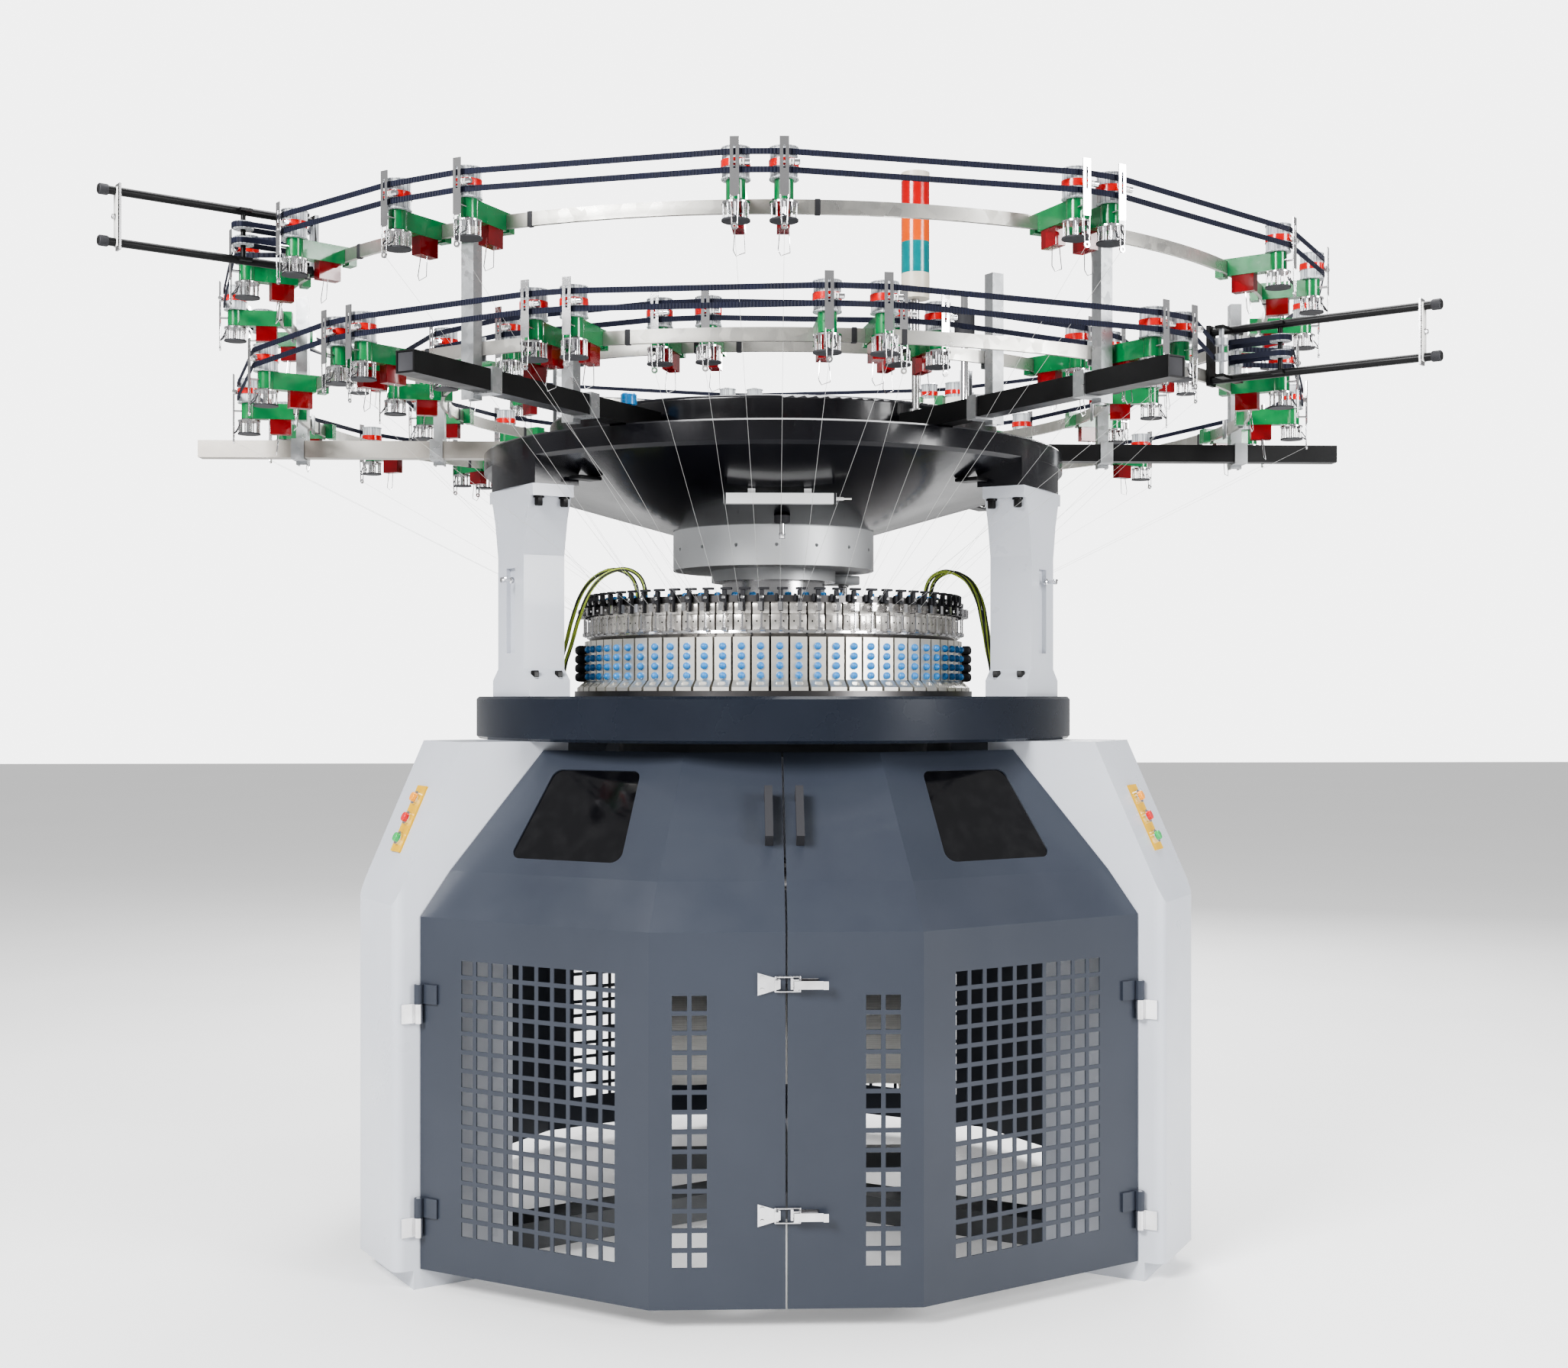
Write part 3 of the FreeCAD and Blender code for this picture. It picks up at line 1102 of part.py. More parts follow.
# ---- doors and guards -------------------------------------------------------------------
SIDE_NORMAL = V(0.5, -math.sqrt(3) / 2, 0)
SIDE_ALONG = V(math.sqrt(3) / 2, 0.5, 0)
LEG_SIDEWAYS = V(-0.5, -math.sqrt(3) / 2, 0)
CORNER_SHIFT = math.tan(math.radians(15.0))


def side_reach():
    """Distance of the side facet's plane from the machine's axis."""
    return SIDE_NORMAL.dot(V(DOOR_FRONT_HALF_WIDTH, -DOOR_FRONT, 0))


def corner_point(inward, z):
    """Where the front and side facets meet, drawn inwards by a distance."""
    return V(DOOR_FRONT_HALF_WIDTH - inward * CORNER_SHIFT, -DOOR_FRONT + inward, z)


def edge_point(inward, z, gap):
    """Where the side facet ends beside the leg."""
    total = side_reach() - inward + LEG_HALF_WIDTH + gap
    y = -total / math.sqrt(3)
    x = 2 * (side_reach() - inward + y * math.sqrt(3) / 2)
    return V(x, y, z)


def levels():
    """Heights of the door's folds with how far the sheet leans in there."""
    return ((DOOR_BOTTOM, 0.0), (DOOR_FOLD_Z, 0.0), (DOOR_CREASE_Z, DOOR_CREASE_IN),
            (DOOR_TOP, DOOR_TOP_IN))


def sheet_facet(corners, inward, holes=()):
    """One flat stretch of sheet, with holes given as closed outlines."""
    outlines = [Part.makePolygon(points + [points[0]]) for points in [corners] + list(holes)]
    face = Part.makeFace(outlines, "Part::FaceMakerBullseye")
    return face.extrude(inward * SHEET)


def vent_squares(start, along, columns, rows):
    """Outlines of a grid of square holes, from the lowest row up."""
    made = []
    for column_number in range(columns):
        for row in range(rows):
            corner = start + (along * column_number + UP * row) * VENT_PITCH
            made.append([corner, corner + along * VENT_HOLE,
                         corner + along * VENT_HOLE + UP * VENT_HOLE, corner + UP * VENT_HOLE])
    return made


def folded_half(seam, gap, front_vents):
    """The right half of a folded guard: three stretches in front and three at the side."""
    pieces = []
    steps = levels()
    for number, ((z0, in0), (z1, in1)) in enumerate(zip(steps, steps[1:])):
        rise = V(0, in1 - in0, z1 - z0).normalize()
        front_inward = V(0, rise.z, -rise.y)
        front = [V(seam, -DOOR_FRONT + in0, z0), corner_point(in0, z0), corner_point(in1, z1),
                 V(seam, -DOOR_FRONT + in1, z1)]
        side_inward = SIDE_NORMAL * -rise.z + UP * -rise.y
        side = [corner_point(in0, z0), edge_point(in0, z0, gap), edge_point(in1, z1, gap),
                corner_point(in1, z1)]
        front_holes = []
        side_holes = []
        if number == 0:
            first = V(VENT_FRONT_MIDDLE - VENT_PITCH / 2 - VENT_HOLE / 2, -DOOR_FRONT, VENT_BOTTOM)
            front_holes = vent_squares(first, V(1, 0, 0), VENT_FRONT_COLUMNS,
                                       VENT_FRONT_ROWS) if front_vents else []
            corner = corner_point(0.0, VENT_BOTTOM)
            side_holes = vent_squares(corner + SIDE_ALONG * VENT_SIDE_START, SIDE_ALONG,
                                      VENT_SIDE_COLUMNS, VENT_SIDE_ROWS)
        pieces.append(sheet_facet(front, front_inward, front_holes))
        pieces.append(sheet_facet(side, side_inward, side_holes))
    return fused(pieces)


def upper_side_frame():
    """Origin and directions of the side facet's leaning upper stretch: (start, along, up, out)."""
    start = corner_point(DOOR_CREASE_IN, DOOR_CREASE_Z)
    lean = (DOOR_TOP_IN - DOOR_CREASE_IN) / (DOOR_TOP - DOOR_CREASE_Z)
    up = (UP - SIDE_NORMAL * lean).normalize()
    out = SIDE_ALONG.cross(up)
    return start, SIDE_ALONG, up, out


def window_outline(lap):
    """The window's four corners on the leaning stretch, widened by a lap."""
    start, along, up, _ = upper_side_frame()
    corners = []
    ends = ((WINDOW_BOTTOM, WINDOW_BOTTOM_IN, -lap), (WINDOW_TOP, WINDOW_TOP_IN, lap))
    for z, inset, shift in ends:
        share = (z - DOOR_CREASE_Z) / (DOOR_TOP - DOOR_CREASE_Z)
        inward = DOOR_CREASE_IN + share * (DOOR_TOP_IN - DOOR_CREASE_IN)
        left = corner_point(inward, z)
        right = edge_point(inward, z, DOOR_LEG_GAP)
        corners.append((left + along * (WINDOW_CORNER_IN - lap) + up * shift,
                        right - along * (inset - lap) + up * shift))
    (low_left, low_right), (high_left, high_right) = corners
    return [low_left, low_right, high_right, high_left]


def window_prism(lap, outward, inward):
    """A window-shaped prism with rounded corners, from one depth to another."""
    out = upper_side_frame()[3]
    prism = polygon_face([p + out * outward for p in window_outline(lap)]).extrude(
        out * -(outward + inward))
    corners = [edge for edge in prism.Edges if abs(edge.tangentAt(edge.FirstParameter).dot(out)) > 0.99]
    return prism.makeFillet(WINDOW_CORNER, corners)


def door_window():
    """The dark pane behind the right door's window."""
    pane = window_prism(WINDOW_LAP, -SHEET, SHEET + WINDOW_THICKNESS)
    return pane


def hinge_axis():
    """Plan position of the right door's hinge pins."""
    edge = edge_point(0.0, 0.0, DOOR_LEG_GAP)
    return edge - SIDE_ALONG * HINGE_ALONG + SIDE_NORMAL * HINGE_STANDOFF


def door_knuckle(z):
    """The door's half of one hinge: a leaf and a bored knuckle."""
    edge = edge_point(0.0, z, DOOR_LEG_GAP)
    axis = hinge_axis()
    bottom = z + HINGE_GAP / 2
    top = z + HINGE_HEIGHT / 2
    corners = [edge, edge - SIDE_ALONG * LEAF_LENGTH,
               edge - SIDE_ALONG * LEAF_LENGTH + SIDE_NORMAL * LEAF_THICKNESS,
               edge + SIDE_NORMAL * LEAF_THICKNESS]
    leaf = polygon_face([V(p.x, p.y, bottom) for p in corners]).extrude(V(0, 0, top - bottom))
    return fused([leaf, cylinder(KNUCKLE_RADIUS, bottom, top, axis.x, axis.y)])


def hinge_pin_halves():
    """The legs' halves of the right door's hinges, each a leaf, a knuckle and its pin."""
    axis = hinge_axis()
    sideways = LEG_SIDEWAYS.dot(axis)
    along_leg = V(math.sqrt(3) / 2, -0.5, 0)
    made = []
    for z in HINGE_ZS:
        bottom = z - HINGE_HEIGHT / 2
        top = z - HINGE_GAP / 2
        foot = V(axis.x, axis.y, bottom) + LEG_SIDEWAYS * (LEG_HALF_WIDTH - sideways)
        reach = LEG_SIDEWAYS * (sideways - LEG_HALF_WIDTH)
        start = foot + along_leg * 0.5
        leaf_face = polygon_face([start, start + along_leg * 34.0,
                                  start + along_leg * 34.0 + LEG_SIDEWAYS * LEAF_THICKNESS,
                                  start + LEG_SIDEWAYS * LEAF_THICKNESS])
        web_face = polygon_face([start, start + along_leg * 6.0, start + along_leg * 6.0 + reach,
                                 start + reach])
        leaf = leaf_face.extrude(V(0, 0, top - bottom))
        web = web_face.extrude(V(0, 0, top - bottom))
        knuckle = cylinder(KNUCKLE_RADIUS, bottom, top, axis.x, axis.y)
        pin = cylinder(HINGE_PIN_RADIUS, bottom, z + HINGE_HEIGHT / 2, axis.x, axis.y)
        made.append(fused([leaf, web, knuckle, pin]))
    return made


def right_door():
    """The right door: folded sheet, edge flange, window hole and hinge knuckles."""
    sheet = folded_half(DOOR_SEAM, DOOR_LEG_GAP, True)
    flange = block(DOOR_SEAM, DOOR_SEAM + SHEET, -DOOR_FRONT, -DOOR_FRONT + DOOR_FLANGE,
                   DOOR_BOTTOM, DOOR_FOLD_Z)
    hem = block(DOOR_SEAM, DOOR_FRONT_HALF_WIDTH - DOOR_FLANGE, -DOOR_FRONT,
                -DOOR_FRONT + DOOR_FLANGE, DOOR_BOTTOM, DOOR_BOTTOM + SHEET)
    axis = hinge_axis()
    door = fused([sheet, flange, hem] + [door_knuckle(z) for z in HINGE_ZS])
    door = door.cut(window_prism(0.0, SHEET, 3 * SHEET))
    bores = [cylinder(HINGE_PIN_RADIUS + RUNNING_FIT, z - HINGE_HEIGHT, z + HINGE_HEIGHT,
                      axis.x, axis.y) for z in HINGE_ZS]
    return door.cut(Part.makeCompound(bores))


def rear_guard():
    """A fixed guard between two legs, folded like a pair of doors."""
    half = folded_half(0.0, GUARD_LEG_GAP, False)
    return fused([half, mirrored(half)])


def door_handle():
    """The right door's pull: a bar on two feet, on the leaning front stretch."""
    half = HANDLE_LENGTH / 2
    bar = block(-HANDLE_BAR / 2, HANDLE_BAR / 2, -HANDLE_RISE, -HANDLE_RISE + HANDLE_BAR, -half, half)
    feet = [block(-HANDLE_BAR / 2, HANDLE_BAR / 2, -HANDLE_RISE, 0,
                  *sorted((side * half, side * (half - HANDLE_BAR)))) for side in (-1, 1)]
    shape = fused([bar] + feet)
    share = (HANDLE_Z - DOOR_CREASE_Z) / (DOOR_TOP - DOOR_CREASE_Z)
    inward = DOOR_CREASE_IN + share * (DOOR_TOP_IN - DOOR_CREASE_IN)
    handle = tilted(shape, DOOR_UPPER_TILT, DOOR_FRONT - inward, HANDLE_Z)
    handle.translate(V(HANDLE_X, 0, 0))
    return handle


# ---- toggle latches ---------------------------------------------------------------------
def latch_catch(z):
    """The fan-shaped catch on the left door, with its hook and two screw heads."""
    face_y = -DOOR_FRONT
    outline = [V(-CATCH_START, face_y, z - CATCH_NARROW), V(-CATCH_START, face_y, z + CATCH_NARROW),
               V(-CATCH_START - CATCH_LENGTH, face_y, z + CATCH_WIDE),
               V(-CATCH_START - CATCH_LENGTH, face_y, z - CATCH_WIDE)]
    plate = polygon_face(outline).extrude(V(0, -CATCH_THICKNESS, 0))
    hook_x = BAIL_HOOK_X + BAIL_WIRE + SEAT_GAP
    hook = block(hook_x, hook_x + 4.0, face_y - HOOK_HEIGHT, face_y, z - CATCH_NARROW, z + CATCH_NARROW)
    lip = block(hook_x - 4.0, hook_x + 4.0, face_y - HOOK_HEIGHT - 2.0, face_y - HOOK_HEIGHT,
                z - CATCH_NARROW, z + CATCH_NARROW)
    screw_x = -CATCH_START - CATCH_LENGTH + 9.0
    screws = [rod(V(screw_x, face_y - CATCH_THICKNESS, z + side * 12.0),
                  V(screw_x, face_y - CATCH_THICKNESS - 3.0, z + side * 12.0), 5.0)
              for side in (-1, 1)]
    return fused([plate, hook, lip] + screws)


def latch_bail(z):
    """The spring-wire loop that hooks over the catch."""
    y = -DOOR_FRONT - BAIL_STANDOFF
    corners = [V(BAIL_HOOK_X, y, z - BAIL_HALF_WIDTH), V(BAIL_HOOK_X, y, z + BAIL_HALF_WIDTH),
               V(BAIL_PIVOT_X, y, z + BAIL_HALF_WIDTH), V(BAIL_PIVOT_X, y, z - BAIL_HALF_WIDTH)]
    sides = [rod(a, b, BAIL_WIRE) for a, b in zip(corners, corners[1:] + corners[:1])]
    rounds = [Part.makeSphere(BAIL_WIRE, corner) for corner in corners]
    return fused(sides + rounds)


def lever_middle():
    """Plan position of the lever's pivot pin."""
    return V(LEVER_PIVOT_X, -DOOR_FRONT - LEVER_PIVOT_STANDOFF, 0)


def latch_lever(z):
    """The latch's lever, closed against the door, with its pivot pin."""
    pivot = lever_middle()
    outer_y = pivot.y - 5.0
    tip_x = pivot.x + LEVER_LENGTH
    pad = block(pivot.x - 4.0, tip_x, outer_y - LEVER_SHEET, outer_y,
                z - LEVER_HALF_WIDTH, z + LEVER_HALF_WIDTH)
    cheeks = [block(pivot.x - 4.0, pivot.x + 10.0, outer_y, pivot.y + 4.0,
                    *sorted((z + side * LEVER_HALF_WIDTH, z + side * (LEVER_HALF_WIDTH - LEVER_SHEET))))
              for side in (-1, 1)]
    lift = block(tip_x - 10.0, tip_x, outer_y - LEVER_SHEET - 5.0, outer_y - LEVER_SHEET,
                 z - LEVER_HALF_WIDTH, z + LEVER_HALF_WIDTH)
    reach = LEVER_HALF_WIDTH + EAR_THICKNESS + SEAT_GAP
    pin = cylinder(LEVER_PIN_RADIUS, z - reach, z + reach, pivot.x, pivot.y)
    return fused([pad, lift, pin] + cheeks)


def latch_base(z):
    """The lever's base on the right door: a plate with two bored ears."""
    pivot = lever_middle()
    face_y = -DOOR_FRONT
    ear_inner = LEVER_HALF_WIDTH + SEAT_GAP
    ear_outer = ear_inner + EAR_THICKNESS
    plate = block(pivot.x - 10.0, pivot.x + 44.0, face_y - 2.0, face_y, z - ear_outer, z + ear_outer)
    ears = [block(pivot.x - 5.0, pivot.x + 5.0, pivot.y - 4.0, face_y,
                  *sorted((z + side * ear_inner, z + side * ear_outer))) for side in (-1, 1)]
    bore = cylinder(LEVER_PIN_RADIUS + RUNNING_FIT, z - 2 * ear_outer, z + 2 * ear_outer,
                    pivot.x, pivot.y)
    return fused([plate] + ears).cut(bore)


# ---- push buttons -----------------------------------------------------------------------
BUTTON_NAMES = ("green", "red", "amber")


def button_plate(azimuth):
    """The plate on a front leg, with its three bezels."""
    half_width = BUTTON_PLATE_WIDTH / 2
    half_length = BUTTON_PLATE_LENGTH / 2
    plate = block(-half_width, half_width, -BUTTON_PLATE_THICKNESS, 0, -half_length, half_length)
    pieces = [plate]
    cuts = []
    for row in (-1, 0, 1):
        z = row * BUTTON_PITCH
        start = V(0, -BUTTON_PLATE_THICKNESS, z)
        front = V(0, -BUTTON_PLATE_THICKNESS - BEZEL_HEIGHT, z)
        bezel = rod(start, front, BEZEL_RADIUS)
        pieces.append(bezel.cut(rod(start, front, BUTTON_RADIUS + BUTTON_SIDE_GAP)))
        cuts.append(rod(V(0, 1, z), V(0, -BUTTON_PLATE_THICKNESS - 1, z),
                        BUTTON_STEM + BUTTON_SIDE_GAP))
    return button_frame(fused(pieces).cut(Part.makeCompound(cuts)), 0.0, azimuth)


def push_button(row, azimuth):
    """One button: a round cap on a stem that passes through the plate."""
    back = -BUTTON_PLATE_THICKNESS - BUTTON_STANDOFF
    cap = rod(V(0, back, 0), V(0, back - BUTTON_HEIGHT, 0), BUTTON_RADIUS)
    rim = [edge for edge in cap.Edges if edge.BoundBox.YMax < back - BUTTON_HEIGHT + 0.1]
    cap = cap.makeFillet(2.0, rim)
    stem = rod(V(0, back - 1, 0), V(0, back + BUTTON_STEM_LENGTH, 0), BUTTON_STEM)
    return button_frame(fused([cap, stem]), row * BUTTON_PITCH, azimuth)


# ---- signal tower, cables and yarns -----------------------------------------------------
def signal_tower():
    """Foot and pole, base, three lenses and cap of the signal tower."""
    middle = polar(TOWER_RADIUS_FROM_AXIS, TOWER_ARM)
    arm_top = ARM_Z + ARM_SIZE / 2
    foot = cylinder(TOWER_FOOT_RADIUS, arm_top, arm_top + TOWER_FOOT_HEIGHT, middle.x, middle.y)
    pole = cylinder(TOWER_POLE_RADIUS, arm_top, TOWER_POLE_TOP, middle.x, middle.y)
    made = [fused([foot, pole])]
    bottom = TOWER_POLE_TOP
    for height in TOWER_MODULES:
        made.append(cylinder(TOWER_RADIUS, bottom, bottom + height, middle.x, middle.y))
        bottom += height
    return made


def cable(start, end):
    """A cable from one azimuth of the dial ring, over the cam blocks, to another of the bed."""
    plan = ((DIAL_RING_RADIUS - 26.0, DIAL_RING_TOP), (DIAL_RING_RADIUS - 26.0, DIAL_RING_TOP + 40.0),
            (DIAL_RING_RADIUS + 10.0, DIAL_RING_TOP + 70.0),
            (DIAL_RING_RADIUS + 56.0, DIAL_RING_TOP + 52.0),
            (DIAL_RING_RADIUS + 78.0, DIAL_RING_TOP + 6.0),
            (DIAL_RING_RADIUS + 84.0, DIAL_RING_TOP - 50.0),
            (DIAL_RING_RADIUS + 88.0, DIAL_RING_TOP - 108.0),
            (DIAL_RING_RADIUS + 96.0, DIAL_RING_TOP - 164.0),
            (DIAL_RING_RADIUS + 96.0, BED_TOP))
    last = len(plan) - 3
    turns = [start + (end - start) * min(max(step - 1, 0), last) / last for step in range(len(plan))]
    return tube_along([polar(radius, azimuth, z) for (radius, z), azimuth in zip(plan, turns)],
                      CABLE_RADIUS)


def yarn(radius, azimuth, z, guides):
    """The tight yarn from a feeder's eye to the nearest yarn guide that is still free."""
    start = feeder_eye(radius, azimuth, z)
    step = 360.0 / BLOCK_COUNT
    number = min(guides, key=lambda guide: apart(guide * step, azimuth))
    guides.remove(number)
    guide_radius = DIAL_BLOCK_RADIUS + GUIDE_REACH + YARN_RADIUS + SEAT_GAP
    end = polar(guide_radius, number * step, DIAL_BLOCK_TOP - 1 - GUIDE_HEIGHT / 2)
    return rod(start, end, YARN_RADIUS)


def apart(first, second):
    """Angle between two azimuths."""
    return abs((first - second + 180.0) % 360.0 - 180.0)


def beside_column(azimuth):
    """Whether a yarn at this azimuth would run into a column."""
    return any(apart(azimuth, leg_azimuth) < YARN_COLUMN_KEEPOUT for leg_azimuth in LEG_AZIMUTHS)


def over_feeder(name, azimuth):
    """Whether an upper feeder's yarn would run into a feeder of the middle ring."""
    return name == "upper" and any(apart(azimuth, other) < YARN_FEEDER_KEEPOUT
                                   for other in all_round(MIDDLE_FEEDERS))


# ---- writing the nodes ------------------------------------------------------------------
def save_structure():
    """Base, legs, bed, columns, dome and what hangs under it."""
    save("base_frame", base_frame())
    save("legs", *legs())
    save("bed_plate", bed_plate())
    save("columns", *[turned(column(), azimuth) for azimuth in LEG_AZIMUTHS])
    save("upper_dome", upper_dome())
    save("top_cover", top_cover())
    save("hub_discs", *hub_discs())
    save("dial_housing", dial_housing())
    save("lamp_bar", lamp_bar())


def save_rotating_group():
    """What turns with the needle cylinder, and its drive."""
    save("cylinder_gear", cylinder_gear())
    save("needle_cylinder", needle_cylinder())
    save("takedown_frame", takedown_frame())
    for name, place in roller_places().items():
        save(name, roller(*place))
    save("drive_pinion", drive_pinion())
    save("drive_motor", drive_motor())
    save("dial", dial())


def save_knitting_head():
    """Cam rings, cam blocks, knobs and yarn guides."""
    save("cylinder_cam_ring", ring(CAM_RING_RADIUS, BLOCK_INNER, BED_TOP, CAM_RING_TOP))
    save("cylinder_cam_blocks", *round_the_head(cylinder_cam_block()))
    save("cylinder_cam_knobs", *round_the_head(cam_knobs()))
    save("dial_cam_ring", ring(DIAL_RING_RADIUS, DIAL_RING_BORE, DIAL_BLOCK_TOP, DIAL_RING_TOP))
    save("dial_cam_blocks",
         *round_the_head(wedge(BLOCK_INNER, DIAL_BLOCK_RADIUS, DIAL_BLOCK_BOTTOM, DIAL_BLOCK_TOP)))
    save("yarn_guides", *round_the_head(yarn_guide()))


def save_feeders():
    """Arms, posts, rings, feeders, belts, tensioners and yarns."""
    save("support_arms", *support_arms())
    posts, straps = ring_posts()
    save("ring_posts", *posts)
    save("post_straps", *straps)
    save("feeder_rings", *[bar_ring(radius, z) for radius, z, _, _ in FEEDER_RINGS.values()])
    housings, rotors, brackets, loops, frames, yarns = [], [], [], [], [], []
    tensioners = {"upper": UPPER_TENSIONER, "middle": MIDDLE_TENSIONER}
    guides = list(range(BLOCK_COUNT))
    for name, (radius, z, front, turning) in FEEDER_RINGS.items():
        housing = feeder_housing(radius, z)
        stop_box = feeder_stop_box(radius, z)
        rotor = feeder_rotor(radius, z)
        bracket = feeder_bracket(radius, z)
        azimuths = all_round(front)
        for azimuth in azimuths:
            housings += [turned(housing, azimuth), turned(stop_box, azimuth)]
            brackets.append(turned(bracket, azimuth))
            if azimuth == turning:
                save(name + "_feeder_rotor", turned(rotor, azimuth))
            else:
                rotors.append(turned(rotor, azimuth))
            if not beside_column(azimuth) and not over_feeder(name, azimuth):
                yarns.append(yarn(radius, azimuth, z, guides))
        loops += belts(radius, z, azimuths, tensioners.get(name))
        if name in tensioners:
            frames.append(tensioner_frame(radius, z, tensioners[name]))
            inner, outer = idler_places(radius, tensioners[name])
            for point in inner:
                frames += idler_pair(point, INNER_IDLER_RADIUS, z)
            save(name + "_tension_pulleys", *idler_pair(outer, OUTER_IDLER_RADIUS, z))
    save("feeder_housings", *housings)
    save("feeder_rotors", *rotors)
    save("feeder_brackets", *brackets)
    save("feeder_belts", *loops)
    save("tensioner_frames", *frames)
    save("yarns", *yarns)


def save_doors():
    """Doors, windows, handles, hinges, latches and the fixed rear guards."""
    door = right_door()
    window = door_window()
    handle = door_handle()
    save("right_door", door, *[latch_base(z) for z in LATCH_ZS])
    save("left_door", mirrored(door))
    save("right_door_window", window)
    save("left_door_window", mirrored(window))
    save("right_door_handle", handle)
    save("left_door_handle", mirrored(handle))
    halves = hinge_pin_halves()
    save("hinge_pin_halves", *halves, *[mirrored(half) for half in halves])
    save("latch_catches", *[latch_catch(z) for z in LATCH_ZS])
    save("latch_bails", *[latch_bail(z) for z in LATCH_ZS])
    for name, z in zip(("lower", "upper"), LATCH_ZS):
        save(name + "_latch_lever", latch_lever(z))
    guard = rear_guard()
    save("rear_guards", turned(guard, 120.0), turned(guard, -120.0))


def save_controls():
    """Push buttons, signal tower and cables."""
    save("button_plates", button_plate(LEG_AZIMUTHS[0]), button_plate(LEG_AZIMUTHS[1]))
    for side, azimuth in (("left", LEG_AZIMUTHS[0]), ("right", LEG_AZIMUTHS[1])):
        for row, colour in zip((-1, 0, 1), BUTTON_NAMES):
            save(side + "_" + colour + "_button", push_button(row, azimuth))
    save("signal_tower", *signal_tower())
    save("cable_harness", *[cable(start, end) for start, end in CABLE_ROUTES])


os.makedirs("parts", exist_ok=True)
save_structure()
save_rotating_group()
save_knitting_head()
save_feeders()
save_doors()
save_controls()
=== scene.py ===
"""Looks of a large-diameter circular knitting machine, built around its CAD frame.

Lengths are metres. The machine's axis is the Z axis, the floor is z = 0 and -Y is the front.
An azimuth is counted in degrees from the front (-Y) towards the right (+X).
"""

import logging
import math
from collections.abc import Callable, Iterable, Sequence
from dataclasses import dataclass
from enum import Enum

import bpy
import numpy as np
from mathutils import Matrix, Vector


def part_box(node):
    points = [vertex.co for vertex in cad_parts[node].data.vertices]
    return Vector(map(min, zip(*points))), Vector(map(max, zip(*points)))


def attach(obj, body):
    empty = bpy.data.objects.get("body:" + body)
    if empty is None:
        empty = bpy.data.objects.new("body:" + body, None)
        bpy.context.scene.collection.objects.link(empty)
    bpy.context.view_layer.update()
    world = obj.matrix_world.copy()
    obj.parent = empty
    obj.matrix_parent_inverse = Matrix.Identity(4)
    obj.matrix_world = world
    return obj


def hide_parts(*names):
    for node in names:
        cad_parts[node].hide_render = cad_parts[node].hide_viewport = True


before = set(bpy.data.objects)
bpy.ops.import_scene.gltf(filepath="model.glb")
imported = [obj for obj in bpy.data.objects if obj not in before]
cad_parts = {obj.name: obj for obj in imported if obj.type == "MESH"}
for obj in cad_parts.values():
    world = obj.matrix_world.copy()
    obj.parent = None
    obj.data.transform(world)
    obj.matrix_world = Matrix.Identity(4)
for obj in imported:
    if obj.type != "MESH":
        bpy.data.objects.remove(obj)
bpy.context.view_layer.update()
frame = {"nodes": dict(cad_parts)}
LOG = logging.getLogger("knitting_machine")

Colour = tuple[float, float, float, float]
Profile = Sequence[tuple[float, float]]

BLOCK_COUNT = 68
LEG_AZIMUTHS = (-60.0, 60.0, 180.0)
ARM_AZIMUTHS = (-150.0, -90.0, -30.0, 30.0, 90.0, 150.0)
SMOOTH_ANGLE = 35.0
BETWEEN_ENDS = 1.5       # a height between the yarns' lower and upper ends
END_SPREAD = 0.0025      # the width of one end


def rgb(red: float, green: float, blue: float) -> Colour:
    """A linear colour with full alpha."""
    return (red, green, blue, 1.0)


def polar(radius: float, azimuth: float, z: float) -> Vector:
    """The point at a radius, an azimuth in degrees and a height."""
    turn = math.radians(azimuth)
    return Vector((radius * math.sin(turn), -radius * math.cos(turn), z))


def station(azimuth: float, radius: float = 0.0, z: float = 0.0, sideways: float = 0.0) -> Matrix:
    """The frame of a piece drawn at azimuth 0.

    Args:
        azimuth: Where the piece stands, in degrees.
        radius: How far out along -Y it is moved before it is turned.
        z: How far it is raised.
        sideways: How far it is moved along +X before it is turned.

    Returns:
        The matrix that takes the drawn piece to its place.
    """
    return Matrix.Rotation(math.radians(azimuth), 4, "Z") @ Matrix.Translation((sideways, -radius, z))


OUTWARDS = Matrix.Rotation(math.radians(90.0), 4, "X")
ACROSS = Matrix.Rotation(math.radians(90.0), 4, "Y")


